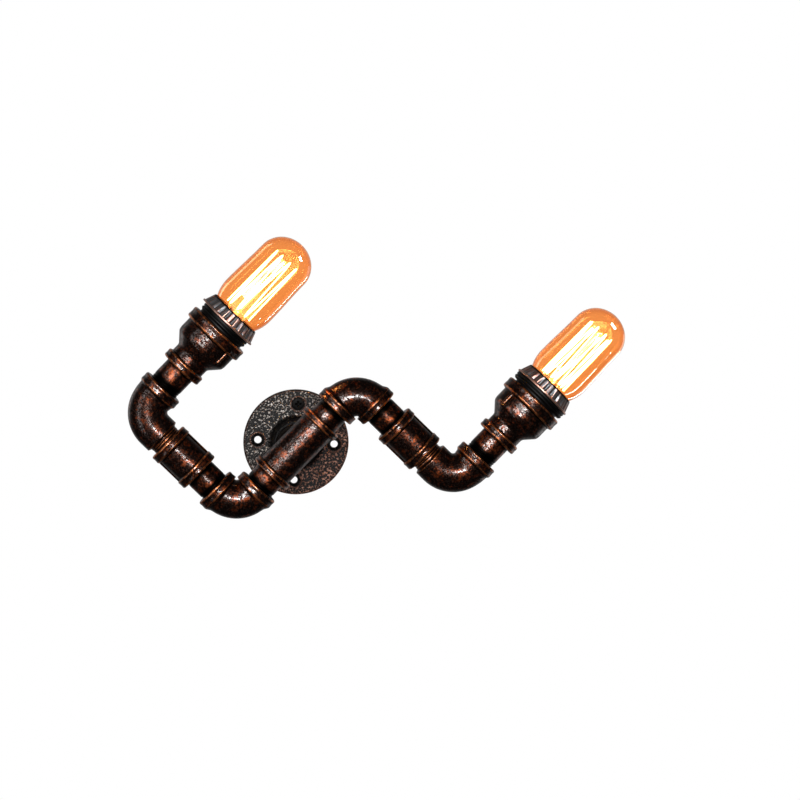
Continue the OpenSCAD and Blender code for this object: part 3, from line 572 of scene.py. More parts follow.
def thread(depth, pitch, low, high, at_r):
    """A screw thread cut into the outside at radius at_r between two positions."""

    def relief(r, t, angles):
        if abs(r - at_r) > 0.05 or not low <= t <= high:
            return 0 * angles
        share = min(1.0, (t - low) / THREAD_FADE, (high - t) / THREAD_FADE)
        phase = (t / pitch - angles / FULL_TURN) % 1
        return -depth * share * (1 - np.abs(2 * phase - 1)) ** 1.3

    return relief


for side in SIDES:
    first = STREET_REACH - BEND_R
    bend_end = first + BEND_R * pi / 2
    tail_end = bend_end + STREET_FACE + ENGAGE - BEND_R
    body_end = bend_end + STREET_BODY - BEND_R
    corners = mouth(0, BAND_R, BAND_LEN) + [
        (14.5, BAND_LEN + 1.6, 1.2), (ELBOW_R + 0.1, first + 3.5, 3.0),
        (ELBOW_R, body_end - 1.0, 0.7), (PIPE_R, body_end, LIP),
    ]
    corners += crisp(
        (PIPE_R, tail_end - CHAMFER), (PIPE_R - CHAMFER, tail_end), (BORE_R, tail_end),
        (BORE_R, SOCKET_DEPTH), (SOCKET_R, SOCKET_DEPTH),
    )
    cut = thread(TAIL_DEPTH, PITCH, body_end + 0.4, tail_end, PIPE_R)
    rings = shaped(corners, 0.42, path=bent(STREET_REACH, BEND_R), relief=cut)
    swapped = side == "right"
    place = Place(OUTER[side], RUN_TILT + 90 * swapped, swapped)
    dress(f"street_casting_{side}", place, "root", "pipe_iron", IRON, f"street_elbow_{side}", rings)

# %% [markdown]
# Nipples
#
# The short pipes between fittings are called nipples. A taper thread binds before it runs
# out, so a few turns stay in sight beside a fitting. The thread is real geometry, so that
# it shows at the outline too. Glaze gathers in it, and next to a fitting the pipe gets
# painted shade: the stored shade is full there and fades along the pipe. The branch nipple
# lies in the shadow of the tee, so it is painted dark as shade over its whole length.

# %% Nipples
TEE_HALF, BRANCH_REACH, COUPLING_LEN, HUB_H = 26.7, 26.7, 32.0, 18.0
SHADE_FADE = 2.5


def make_nipple(name, place, low, high, turns):
    """A pipe seen from low to high, with so many turns of thread in sight at its ends."""
    start, end = low - ENGAGE, high + ENGAGE
    corners = crisp(
        (PIPE_R - CHAMFER, start), (PIPE_R, start + CHAMFER), (PIPE_R, end - CHAMFER),
        (PIPE_R - CHAMFER, end), (BORE_R, end), (BORE_R, start),
    )
    plain_low, plain_high = low + turns[0] * PITCH, high - turns[1] * PITCH
    first = thread(THREAD_DEPTH, PITCH, start, plain_low, PIPE_R)
    second = thread(THREAD_DEPTH, PITCH, plain_high, end, PIPE_R)

    def both(r, t, angles):
        return first(r, t, angles) + second(r, t, angles)

    # Glaze in the thread and painted shade next to a fitting, fading along the pipe.
    def near_thread(x, y, t):
        return np.clip(1.15 - np.minimum(t - plain_low, plain_high - t) / SHADE_FADE, 0, 1)

    rings = shaped(corners, 0.36, angles=72, relief=both)
    dress(f"pipe_{name}", place, "root", "pipe_iron", PIPE, name, rings, shade=near_thread)


for side in SIDES:
    run = Place((0, 0), RUN_TILT + 180 * (side == "left"))
    cross, lamp = Place(INNER[side], CROSS_TURN[side]), Place(OUTER[side], RUN_TILT)
    cross_high = CROSS_LEN - STREET_FACE - COUPLING_LEN
    make_nipple(f"tee_nipple_{side}", run, TEE_HALF, RUN_HALF - ELBOW_REACH, (0, 1.6))
    make_nipple(f"cross_nipple_{side}", cross, ELBOW_REACH, cross_high, (1.4, 0.8))
    make_nipple(f"lamp_nipple_{side}", lamp, STREET_REACH, LAMP_LEN, (2.6, 0))
# Thread over nearly all of it: the branch nipple is painted dark as shade behind the tee.
make_nipple("branch_nipple", WallPlace(), HUB_H, STAND_OFF - BRANCH_REACH, (3, 3))

# %% [markdown]
# The tee
#
# The tee's run and branch are two outlines that cross. The sand mould leaves a soft fillet
# where they meet, so the branch gets a flared foot that dips into the barrel. The branch
# lies in the shadow of the run, so it is painted near black as shade: its stored shade is full.

# %% The tee
TEE_R, TEE_BAND_R, TEE_BAND, TEE_DIP = 13.3, 15.7, 4.6, 0.35
BRANCH_R, BRANCH_FOOT, FOOT_FLARE = 12.9, 10.0, 1.6


# Painted shade on the branch, behind the run.
def painted_shade_behind_the_run(x, y, t):
    return np.clip(y / 3, 0, 1) * np.clip((19 - np.abs(t)) / 2, 0, 1)


half = mouth(TEE_HALF, TEE_BAND_R, TEE_BAND, TEE_DIP) + [(TEE_R, TEE_HALF - TEE_BAND - 0.3, 0.5)]
run = shaped(mirrored(half) + bore(-TEE_HALF, TEE_HALF), 1.6)
socket_end = BRANCH_REACH - SOCKET_DEPTH
corners = mouth(BRANCH_REACH, TEE_BAND_R, TEE_BAND, TEE_DIP) + [
    (BRANCH_R, BRANCH_REACH - TEE_BAND - 0.3, 0.5), (BRANCH_R, 16.5, 3.0),
]
corners += crisp(
    (BRANCH_R + FOOT_FLARE, BRANCH_FOOT), (BORE_R, BRANCH_FOOT), (BORE_R, socket_end),
    (SOCKET_R, socket_end),
)
branch = shaped(corners, 1.2)[:, :, [0, 2, 1]] * np.array([1, 1, -1])
place = Place((0, 0), RUN_TILT)
dress("tee_casting", place, "root", "pipe_iron", IRON, "tee", run, branch, shade=painted_shade_behind_the_run)

# %% [markdown]
# Couplings and reducers
#
# A coupling is a straight sleeve, a reducer widens from one thread size to a larger one.
# Both have two ribs along their length, which give the wrench its bite: their relief is a
# smooth ridge at two opposite angles.

# %% Couplings and reducers
RIB_H, RIB_W, RIB_FLANK = 1.1, 3.0, 0.675
COUPLING_BAND, COUPLING_BAND_R, COUPLING_R = 6.2, 15.8, 13.9
RED_TURN = {"left": -44, "right": -139}
RED_H, SHELF_LOW, SHELF_TOP, RED_BORE = 40.0, 12.5, 15.0, 18.2
RED_MOUTH_R, RED_MOUTH, RED_NECK_R, RED_BODY_R, RED_BAND_R = 16.05, 5.9, 13.8, 21.1, 23.8
RED_BODY_LOW, RED_BAND_LOW, RED_DIP = 23.0, 32.0, 0.35


def smooth(share):
    """A soft step: 0 up to 0, then rising to 1 at 1."""
    share = np.clip(share, 0, 1)
    return share * share * (3 - 2 * share)


def ribs(marks, low, high, at_r):
    """Ribs at the marked angles, from one band to the other."""

    def relief(r, t, angles):
        raised = 0 * angles
        if r < at_r - 0.8 or not low < t < high:
            return raised
        for mark in marks:
            gap = np.abs((angles - mark + pi) % FULL_TURN - pi) * r
            ridge = smooth((RIB_W / 2 - gap) / RIB_FLANK)
            raised = np.maximum(raised, (RIB_H - (r - at_r)) * ridge)
        return raised

    return relief


for side in SIDES:
    end = COUPLING_LEN / 2
    waist = (COUPLING_R, end - COUPLING_BAND - 0.8, 0.8)
    skin = mirrored(mouth(end, COUPLING_BAND_R, COUPLING_BAND) + [waist]) + bore(-end, end)
    marks, rib_end = (0.0, pi), end - COUPLING_BAND - 0.1
    relief = ribs(marks, -rib_end, rib_end, COUPLING_R)
    rings = shaped(skin, 0.9, angles=columns(COLUMNS, marks, 0.13), relief=relief)
    centre = INNER[side] + (CROSS_LEN - STREET_FACE - end) * heading(CROSS_TURN[side])
    place = Place(centre, CROSS_TURN[side])
    dress(f"coupling_casting_{side}", place, "root", "pipe_iron", IRON, f"coupling_{side}", rings)

    corners = mouth(0, RED_MOUTH_R, RED_MOUTH) + [
        (RED_NECK_R, 6.6, 0.5), (RED_NECK_R, 12.6, 3.0), (20.6, 20.2, 3.5),
        (RED_BODY_R, RED_BODY_LOW, 3.0), (RED_BODY_R, RED_BAND_LOW - 0.6, 0.9),
        (RED_BAND_R, RED_BAND_LOW, SOFT),
        (RED_BAND_R - RED_DIP, (RED_BAND_LOW + RED_H) / 2, HOLLOW), (RED_BAND_R, RED_H, SOFT),
        (RED_BORE, RED_H, 0.4), (RED_BORE, 22.2, 0.5), (11.7, SHELF_TOP, LIP),
    ]
    corners += crisp((BORE_R, SHELF_TOP), (BORE_R, SHELF_LOW), (SOCKET_R, SHELF_LOW))
    marks = [radians(RED_TURN[side]) + turn for turn in (0, pi)]
    relief = ribs(marks, RED_BODY_LOW - 1.5, RED_BAND_LOW - 0.1, RED_BODY_R)
    rings = shaped(corners, 0.8, angles=columns(COLUMNS, marks, 0.09), relief=relief)
    lamp_piece(side, "reducer_casting", "root", "pipe_iron", IRON, "reducer", rings)

# %% [markdown]
# The flange's finish
#
# The flange is a coarser casting with the leathery skin of a sand mould. Noise whose
# coordinates are bent by other noise gives that skin. Its colour is painted light: pale grey
# highlights on the pebbles and painted shade between them, coppery towards the lower right.
# The stored bulge rubs the rims of the screw holes, and the stored shade paints the hub, the
# countersinks and the upper left rim dark as shade.

# %% The flange's finish
PEBBLE_MM, FINE_MM, BEND_SCALE, BEND_MM = 1.25, 0.5, 0.6, 1.6

FLANGE_FINISH, r, surface = finish("pebbled_iron")
place = r.place_mm()
wear, shade = r.stored("edge_wear"), r.stored("shade")
values = {"Vector": place, "Scale": BEND_SCALE, "Detail": 2.0}
bend = r.node("ShaderNodeTexNoise", {}, values, output=1)
bend = r.vector("SCALE", {0: bend, "Scale": BEND_MM})
fine = r.noise(place, FINE_MM, 1.0, 0.6)
pebbles = r.noise(r.vector("ADD", {0: place, 1: bend}), PEBBLE_MM, 2.0, 0.6)
skin = r.ease(pebbles + (fine - 0.5) * 0.2, 0.49, 0.62)
x = r.node("ShaderNodeSeparateXYZ", {}, {0: place}, output="X")
lean = x * 0.7 - r.beside(x, "Z") * 0.7 + r.noise(place, 9.0, 2.0) * 30
# Painted highlight and shade: the pebbles' tops are pale grey and the hollows between them near
# black.
pebble_highlight_and_shade = r.mix(skin, (2, 2, 2), (152, 145, 139))
warm = r.mix(r.ease(lean, -6.0, 40.0) * skin * 0.6, pebble_highlight_and_shade, (190, 112, 78))
edge = r.ease(wear + (fine - 0.5) * 0.4, 0.3, 0.8)
rubbed = r.mix(edge * 0.55, warm, (176, 116, 92))
r.fill(surface, {
    # Painted shade where the stored shade is set.
    "Base Color": r.mix(shade, rubbed, (7, 6, 6)),
    "Metallic": 0.4,
    "Roughness": 0.44 - 0.10 * skin,
    "Normal": r.bump(skin, 0.45, 1.0, r.bump(r.noise(place, 6.0, 1.0), 0.4, 0.4)),
    "Specular IOR Level": 0.3,
})
print("nodes in the flange's finish:", len(FLANGE_FINISH.node_tree.nodes))

# %% [markdown]
# The flange
#
# The plate and its hub are one outline. The four screw holes are cut out of the plate, and
# an eye is set into each cut: a small turned ring with the countersink, the straight hole
# and a low raised rim, as on the real casting. The cut edges lie under the rims, so plain
# drums can cut them.

# %% The flange
FLANGE_R, FLANGE_T, CABLE_HOLE_R = 39.0, 5.0, 9.0
HUB_FOOT_R, HUB_R = 17.9, 16.3
HOLE_CIRCLE_R, HOLE_TURN = 28.3, -4
HOLE_R, SINK_R, EYE_R = 2.7, 4.7, 6.2
HOLES = [HOLE_CIRCLE_R * heading(90 * k + HOLE_TURN) for k in range(4)]


def cut_with(piece, cutters):
    for cutter in cutters:
        change = piece.modifiers.new("cut", "BOOLEAN")
        change.operation, change.object, change.solver = "DIFFERENCE", cutter, "EXACT"
        bpy.context.view_layer.objects.active = piece
        bpy.ops.object.modifier_apply(modifier=change.name)
        bpy.data.objects.remove(cutter)


def drum(place, radius, low, high):
    rings = sweep(np.array([(radius, low), (radius, high)]), angles=48)
    return mesh_object("cutter", place, rings, wrap=False)


def flange_shade(x, y, z):
    """Painted shade: dark countersinks, a dark hub and a dark rim at the upper left."""
    from_axis = np.hypot(x, y)
    hub = np.clip((21.0 - from_axis) / 2.0, 0, 1)
    rim = np.clip((from_axis - 37.8) / 0.8, 0, 1) * np.clip((y - x + 30) / 30, 0, 0.9)
    gaps = [np.hypot(x - hole[0], y - hole[1]) for hole in HOLES]
    sunk = np.clip((SINK_R + 0.6 - np.min(gaps, axis=0)) / 0.6, 0, 1)
    return np.max([hub, sunk, rim], axis=0)


plate = [
    (CABLE_HOLE_R, 0, LIP), (FLANGE_R, 0, 0.5), (FLANGE_R, FLANGE_T - 0.4, 0.9),
    (FLANGE_R - 1.2, FLANGE_T, 0.9), (20.0, FLANGE_T, 2.2), (HUB_FOOT_R, FLANGE_T + 2.6, 2.5),
    (HUB_R, HUB_H, 0.8), (SOCKET_R, HUB_H, LIP),
]
plate += crisp((SOCKET_R, HUB_H - SOCKET_DEPTH), (CABLE_HOLE_R, HUB_H - SOCKET_DEPTH))
eye = [
    (HOLE_R, 0, 0.15), (EYE_R - 0.3, 0, 0.1), (EYE_R - 0.3, 1.0, 0.1),
    (EYE_R, FLANGE_T - 0.6, 0.1), (EYE_R, FLANGE_T + 0.05, 0.1),
    (EYE_R - 0.5, FLANGE_T + 0.35, 0.35), (SINK_R + 0.1, FLANGE_T + 0.2, 0.25),
    (HOLE_R, FLANGE_T / 2, 0.2),
]
flange = mesh_object("flange_casting", WallPlace(), shaped(plate, 1.5, angles=128))
cut_with(flange, [drum(WallPlace(hole), EYE_R - 0.5, -3, FLANGE_T + 3) for hole in HOLES])
ring = shaped(eye, 0.8, angles=56)
eyes = [mesh_object(f"eye_{k}", WallPlace(hole), ring) for k, hole in enumerate(HOLES)]
bpy.ops.object.select_all(action="DESELECT")
for part in [*eyes, flange]:
    part.select_set(True)
bpy.context.view_layer.objects.active = flange
bpy.ops.object.join()
flange.data.shade_smooth()
mark_shade(flange, WallPlace(), flange_shade)
fit(flange, "root", "flange_iron", FLANGE_FINISH, "wall_flange")

# %% [markdown]
# Plain metals and resins
#
# One short recipe covers the plated ring, resin, brass, steel, ceramic and insulation: a
# colour that drifts a little, a smudged roughness and a fine bump. What sets them apart is
# how large each of those is. The pieces that keep the frame's own shape only get their
# material changed.

# %% Plain metals and resins
def plain(
    name, dark, light, metallic, rough, smudge, grain_mm, depth_mm,
    edge_light=None, coat=0.0, shine=0.5,
):
    """A finish with a drifting colour, smudged gloss and, if asked, paler edges, hollows in the
    dark colour and painted shade.
    """
    material, r, surface = finish(name)
    place = r.place_mm()
    drift = r.noise(place, grain_mm * 2.5, 3.0, 0.6)
    fine = r.noise(place, grain_mm * 0.4, 3.0, 0.6)
    base = r.mix(r.ease(drift + (fine - 0.5) * 0.4, 0.35, 0.68), dark, light)
    if edge_light:
        # Hollows take the dark colour fully and worn edges the pale one; the stored shade is
        # painted shade.
        wear = r.stored("edge_wear")
        base = r.mix(r.ease(wear + (fine - 0.5) * 0.2, -0.12, 0.12), dark, base)
        base = r.mix(r.ease(wear + (fine - 0.5) * 0.3, 0.15, 0.6), base, edge_light)
        base = r.mix(r.stored("shade"), base, (6, 5, 5))
    r.fill(surface, {
        "Base Color": base,
        "Metallic": metallic,
        "Roughness": rough - smudge / 2 + smudge * drift,
        "Normal": r.bump(fine, depth_mm, 0.7),
        "Coat Weight": coat,
        "Coat Roughness": 0.15,
        "Specular IOR Level": shine,
    })
    return material


# The ring's blue-grey dark colour is a painted reflection: noise mixes it into the copper, and the
# flute hollows take it fully.
COPPER = plain(
    "copper_bronze", (128, 132, 136), (166, 106, 86), 0.9, 0.30, 0.1, 3.0, 0.01,
    edge_light=(222, 172, 150),
)
RESIN = plain("black_resin", (4, 4, 4), (9, 8, 7), 0.0, 0.45, 0.1, 1.5, 0.02, shine=0.2)
BLACKED = plain("blacked_steel", (5, 5, 5), (16, 15, 14), 0.6, 0.42, 0.15, 1.0, 0.02, shine=0.1)
BRASS = plain("brass", (176, 138, 74), (220, 186, 116), 1.0, 0.28, 0.15, 2.0, 0.01)
STEEL = plain("zinc_steel", (118, 118, 120), (168, 168, 170), 1.0, 0.35, 0.15, 1.5, 0.02)
SOLDER = plain("solder", (140, 140, 142), (184, 184, 186), 1.0, 0.35, 0.15, 1.0, 0.05)
CERAMIC = plain(
    "glazed_ceramic", (214, 208, 192), (232, 228, 216), 0.0, 0.25, 0.1, 2.0, 0.02,
    coat=0.4,
)
LIVE = plain("brown_insulation", (82, 44, 24), (104, 58, 34), 0.0, 0.45, 0.1, 1.0, 0.02)
NEUTRAL = plain("blue_insulation", (34, 70, 140), (48, 88, 160), 0.0, 0.45, 0.1, 1.0, 0.02)
CAD_FINISHES = {
    **dict.fromkeys(["fixing_tube", "fixing_nut", "centre_contact", "terminal_screws"], BRASS),
    "fixing_washer": STEEL, "filament_hooks": STEEL, "contact_block": CERAMIC,
    "live_lead": LIVE, "neutral_lead": NEUTRAL, "cap_insulator": RESIN, "tip_contact": SOLDER,
}
for stem, material in CAD_FINISHES.items():
    for side in SIDES:
        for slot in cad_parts[f"{stem}_{side}"].material_slots:
            slot.material = material
print("nodes that keep their own shape:", 2 * len(CAD_FINISHES))

# %% [markdown]
# The flange screw
#
# One dark cross-recess screw sits in the top hole. Its head is a cone that fills the
# countersink, two small bars cut the recess, and the shank carries a coarse wood thread.

# %% The flange screw
SCREW_HEAD_R, SHANK_R, SCREW_LEN, SCREW_SUNK = 4.4, 2.1, 20.0, 0.3
SCREW_PITCH, SCREW_CUT = 1.7, 0.75
RECESS_W, RECESS_LEN, RECESS_DEPTH = 1.3, 4.6, 1.2


def bar(place, width, length, low, high):
    corners = np.array([(-1, -1), (1, -1), (1, 1), (-1, 1)]) * (length / 2, width / 2)
    rings = np.array([[(x, y, z) for x, y in corners] for z in (low, high)])
    return mesh_object("cutter", place, rings, wrap=False)


def wood_thread(r, t, angles):
    if r > SHANK_R + 0.05 or t > top - 3.5:
        return 0 * angles
    phase = (t / SCREW_PITCH - angles / FULL_TURN) % 1
    groove = np.clip(1 - (np.abs(2 * phase - 1) / 0.45) ** 2, 0, 1)
    return -min(SCREW_CUT, 0.9 * r) * groove * 0.9


top = FLANGE_T - SCREW_SUNK
corners = [
    (0.02, top + 0.05, 0), (2.6, top + 0.02, 1.0), (SCREW_HEAD_R, top - 0.15, 0.25),
    (SCREW_HEAD_R - 0.1, top - 0.5, 0.2), (SHANK_R, top - 2.9, 0.8),
    (SHANK_R, top - SCREW_LEN + 4, 0.5), (0.05, top - SCREW_LEN, 0),
]
place = WallPlace(HOLES[1])
rings = shaped(corners, 0.25, angles=40, relief=wood_thread)
screw = mesh_object("screw", place, rings, wrap=False)
arms = (RECESS_W, RECESS_LEN), (RECESS_LEN, RECESS_W)
cut_with(screw, [bar(place, *arm, top - RECESS_DEPTH, top + 1) for arm in arms])
fit(screw, "root", "black_steel", BLACKED, "flange_screw")

# %% [markdown]
# Lampholders
#
# The lampholder is a moulded black cup, mostly hidden in the reducer; a grooved shoulder
# shows, wider on the right lamp. Its threaded skirt carries the ring, and a brass shell
# inside it takes the bulb's cap. The shell's thread has the pitch of the standard cap, 3.63
# mm, so a bulb that turns once also rises by that much.

# %% Lampholders
CAP_PITCH = 25.4 / 7
SHOULDER_R = {"left": 20.5, "right": 22.5}
HOLDER_R, COLLAR_R, TUBE_HOLE_R, CUP_R = 18.0, 19.2, 5.05, 13.8
SHELL_BORE_R, SHELL_R, SHELL_LIP_R, SHELL_T = 13.35, 13.75, 11.85, 0.4
SKIRT_R, SKIRT_BORE_R, SKIRT_PITCH, SKIRT_CUT = 18.6, 17.0, 2.5, 0.3
FLOOR_TOP, BLOCK_TOP, SHELL_TOP = 18.6, 21.0, 47.1
COLLAR_LOW, COLLAR_TOP, SHOULDER_TOP = 40.3, 41.8, 46.6
SKIRT_FOOT, SKIRT_TOP = 47.7, 52.3


def round_thread(depth, low, high, angles, t):
    """The smooth wave of a lamp thread, fading out at its two ends."""
    share = np.clip(min((t - low) / 2, (high - t) / 2), 0, 1)
    return -depth * share * (1 - np.cos(t / CAP_PITCH * FULL_TURN - angles))


def shell_thread(r, t, angles):
    if r <= SHELL_BORE_R - 0.3:
        return 0 * angles
    return round_thread(0.12, BLOCK_TOP + 3, SHELL_TOP - 1, angles, t)


for side in SIDES:
    shoulder, lower = SHOULDER_R[side], SHOULDER_R[side] - 0.6
    holder = [
        (TUBE_HOLE_R, SHELF_TOP, 0.1), (11.5, SHELF_TOP, 0.4), (HOLDER_R, 22.2, 0.6),
        (HOLDER_R, COLLAR_LOW, 0.3), (COLLAR_R, COLLAR_LOW, 0.4), (COLLAR_R, COLLAR_TOP, 0.3),
        (shoulder - 1.0, COLLAR_TOP, 0.3), (shoulder, COLLAR_TOP + 1.2, 0.5),
        (shoulder, COLLAR_TOP + 2.0, 0.3), (lower, COLLAR_TOP + 2.4, 0.3),
        (lower, COLLAR_TOP + 2.8, 0.3), (shoulder, COLLAR_TOP + 3.2, 0.3),
        (shoulder, SHOULDER_TOP, 0.5), (SKIRT_R, SHOULDER_TOP, 0.2), (SKIRT_R, SKIRT_TOP, 0.3),
        (SKIRT_BORE_R, SKIRT_TOP, 0.3), (SKIRT_BORE_R, SKIRT_FOOT, 0.4), (CUP_R, SKIRT_FOOT, 0.2),
        (CUP_R, FLOOR_TOP, 0.2), (TUBE_HOLE_R, FLOOR_TOP, 0.1),
    ]
    cut = thread(SKIRT_CUT, SKIRT_PITCH, SHOULDER_TOP + 0.4, SKIRT_TOP, SKIRT_R)
    rings = shaped(holder, 0.8, relief=cut)
    lamp_piece(side, "holder", "root", "black_resin", RESIN, "lampholder", rings)

    shell = [
        (SHELL_LIP_R, BLOCK_TOP, 0.1), (SHELL_R, BLOCK_TOP, 0.3), (SHELL_R, SHELL_TOP, 0.1),
        (SHELL_BORE_R + 0.1, SHELL_TOP, 0.1), (SHELL_BORE_R + 0.1, BLOCK_TOP + SHELL_T, 0.2),
        (SHELL_LIP_R, BLOCK_TOP + SHELL_T, 0.1),
    ]
    rings = shaped(shell, 0.5, angles=72, relief=shell_thread)
    lamp_piece(side, "shell", "root", "shell_brass", BRASS, "screw_shell", rings)

# %% [markdown]
# Fluted rings
#
# The ring screws on the skirt and would clamp a shade against the holder. Above its thin lip
# a cone has rounded flutes that give the fingers a grip and fade out towards the mouth. The
# columns are counted in whole flutes so that all flutes are alike.

# %% Fluted rings
FLUTES, FLUTE_COLUMNS = 24, 16
FLUTE_DEEP, FLUTE_SHALLOW, FLUTE_WIDTH = 1.3, 0.45, 0.31
RING_LOW, LIP_TOP, RING_TOP = 46.9, 48.3, 56.1
LIP_R, RING_BASE_R, RING_MOUTH_R, RING_BORE_R = 23.35, 22.2, 19.8, 18.9


def flutes(r, t, angles):
    share = (t - LIP_TOP) / (RING_TOP - LIP_TOP)
    if not 0 < share < 1 or r < RING_BORE_R + 0.5:
        return 0 * angles
    phase = (angles * FLUTES / FULL_TURN) % 1
    hollow = np.clip(1 - np.abs(phase - 0.5) / FLUTE_WIDTH, 0, 1) * min(1.0, share / 0.05)
    return -hollow * (FLUTE_DEEP * (1 - share) + FLUTE_SHALLOW * share)


# The top of the ring is painted black: partly its dark inner rim, partly painted shade of the gap
# to the glass.
def at_the_mouth(x, y, t):
    return np.clip((t - RING_TOP + 1.5) / 0.5, 0, 1)


for side in SIDES:
    corners = [
        (RING_BORE_R, RING_LOW, 0.15), (LIP_R, RING_LOW, 0.35), (LIP_R, LIP_TOP - 0.2, 0.45),
        (RING_BASE_R + 0.1, LIP_TOP + 0.1, 0.25), (RING_MOUTH_R, RING_TOP - 0.7, 0.4),
        (RING_MOUTH_R - 0.5, RING_TOP, 0.2), (RING_BORE_R, RING_TOP, 0.15),
    ]
    rings = shaped(corners, 0.5, angles=FLUTES * FLUTE_COLUMNS, relief=flutes)
    lamp_piece(
        side, "fluted_ring", "ring", "ring_copper", COPPER, "shade_ring", rings, shade=at_the_mouth
    )

# %% [markdown]
# Glass and glow
#
# Light that crosses the amber glass is tinted at every surface, so a pale colour gives the
# strong orange seen through two walls. The Layer Weight node tells how far a surface turns
# away from the eye; there the colour is deeper. The filament is so bright that its core
# renders white. The amber glass adds a trace of that light, and the clear stem among the
# loops much more.

# %% Glass and glow
def glowing(surface, r, glow, strength, values):
    r.fill(surface, {**values, "Emission Color": glow, "Emission Strength": strength})


def glass(name, tint, deep, glow, strength):
    material, r, surface = finish(name)
    facing = r.node("ShaderNodeLayerWeight", {}, {"Blend": 0.5}, output="Facing")
    glowing(surface, r, glow, strength, {
        "Base Color": r.mix(r.ease(facing, 0.3, 0.9), tint, deep),
        "Roughness": 0.05,
        "IOR": 1.45,
        "Transmission Weight": 1.0,
        "Normal": r.bump(r.noise(r.place_mm(), 14.0, 1.0), 0.1, 0.1),
    })
    return material


AMBER = glass("amber_glass", (240, 188, 136), (224, 146, 92), (255, 140, 60), 0.05)
CLEAR = glass("clear_glass", (255, 236, 205), (250, 228, 190), (255, 206, 140), 1.5)
FILAMENT, r, surface = finish("glowing_filament")
glow = (255, 226, 176)
glowing(surface, r, glow, 18.0, {"Base Color": glow, "Roughness": 0.5})
print("glasses:", AMBER.name, CLEAR.name, "and", FILAMENT.name)

# %% [markdown]
# Bulbs
#
# A shoulder grows out of the cap like a quarter of an ellipse, then come a nearly straight
# tube and a round dome. The glass has two skins, because only a real wall bends and reflects
# light the way glass does. The cap's thread is a smooth wave with the shell's pitch.

# %% Bulbs
CAP_RIM, BULB_TOP = 49.1, 123.5
CAP_R, CAP_T, BULB_R, DOME_R = 13.05, 0.4, 21.35, 20.4
SHOULDER_LEN, DOME_H, GLASS_T = 19.9, 18.9, 0.5
INSULATOR_TOP, INSULATOR_R = 25.4, 9.1
NECK_LEN, NECK_R, NECK_BORE_R = 4.0, 12.6, 11.6
SHOULDER_STEPS, TUBE_STEPS, DOME_STEPS = 14, 9, 28


def glass_outline(inset):
    """The glass from the cap's rim to the top, moved in by inset."""
    wide, dome_low = CAP_RIM + SHOULDER_LEN, BULB_TOP - DOME_H
    half_axis = SHOULDER_LEN / sqrt(1 - (CAP_R / BULB_R) ** 2)
    rise = CAP_RIM + SHOULDER_LEN * np.arange(SHOULDER_STEPS + 1) / SHOULDER_STEPS
    shoulder = BULB_R * np.sqrt(1 - ((wide - rise) / half_axis) ** 2) - inset
    share = np.arange(1, TUBE_STEPS) / TUBE_STEPS
    wall = BULB_R + (DOME_R - BULB_R) * smooth(share) - inset
    turn = pi / 2 * np.arange(DOME_STEPS) / DOME_STEPS
    dome = (DOME_R - inset) * np.cos(turn)
    radii = np.concatenate([shoulder, wall, dome, [0.02]])
    dome_rise = dome_low + (DOME_H - inset) * np.sin(turn)
    heights = [rise, wide + (dome_low - wide) * share, dome_rise, [BULB_TOP - inset]]
    return np.stack([radii, np.concatenate(heights)], axis=1)


def cap_thread(r, t, angles):
    return round_thread(0.38, INSULATOR_TOP + 2.6, CAP_RIM - 2.6, angles, t)


for side in SIDES:
    outer, inner = glass_outline(0), glass_outline(GLASS_T)
    neck_low = CAP_RIM - NECK_LEN
    neck = np.array([(NECK_BORE_R, neck_low), (NECK_R, neck_low), (NECK_R, CAP_RIM)])
    rings = sweep(np.concatenate([neck, outer, inner[::-1]]), angles=112)
    lamp_piece(side, "glass", "bulb", "amber_glass", AMBER, "bulb_glass", rings)
    cap = [
        (INSULATOR_R, INSULATOR_TOP, 0.1), (INSULATOR_R + 0.4, INSULATOR_TOP, 0.2),
        (CAP_R, INSULATOR_TOP + 2.4, 0.8), (CAP_R, CAP_RIM - 0.3, 0.1),
        (CAP_R - CAP_T, CAP_RIM - 0.3, 0.1), (CAP_R - CAP_T, INSULATOR_TOP + 2.8, 0.8),
        (INSULATOR_R, INSULATOR_TOP + CAP_T, 0.1),
    ]
    rings = shaped(cap, 0.4, angles=72, relief=cap_thread)
    lamp_piece(side, "cap", "bulb", "cap_brass", BRASS, "bulb_cap", rings)

# %% [markdown]
# Stem and filament
#
# Inside, a glass stem with two buttons carries the hooks, and one long carbon thread runs up
# and down round a cage, hung on a hook at every turn. It is built as a fine tube along a wave
# that goes round the cage.

# %% Stem and filament
STEM_LOW, STEM_TOP, BUTTON_H = 45.4, 57.4, 3.0
STEM_FOOT_R, STEM_R, BUTTON_R, ROD_R = 11.4, 3.6, 2.5, 1.5
FILAMENT_TOP = BULB_TOP - 15.0
FILAMENT_LOW = STEM_TOP + BUTTON_H / 2
CAGE_R, LOOPS, LOOP_STEPS, CAGE_OPEN = 10.5, 8, 28, 24
FILAMENT_R, FILAMENT_SIDES = 0.55, 8


def tube(points, radius, sides):
    ahead = np.gradient(points, axis=0)
    ahead /= np.linalg.norm(ahead, axis=1)[:, None]
    across = np.cross(ahead, points * [1, 1, 0])
    across /= np.linalg.norm(across, axis=1)[:, None]
    up = np.cross(across, ahead)
    angles = np.linspace(0, FULL_TURN, sides, endpoint=False)
    circle = np.cos(angles)[:, None, None] * up + np.sin(angles)[:, None, None] * across
    return np.swapaxes(points + radius * circle, 0, 1)


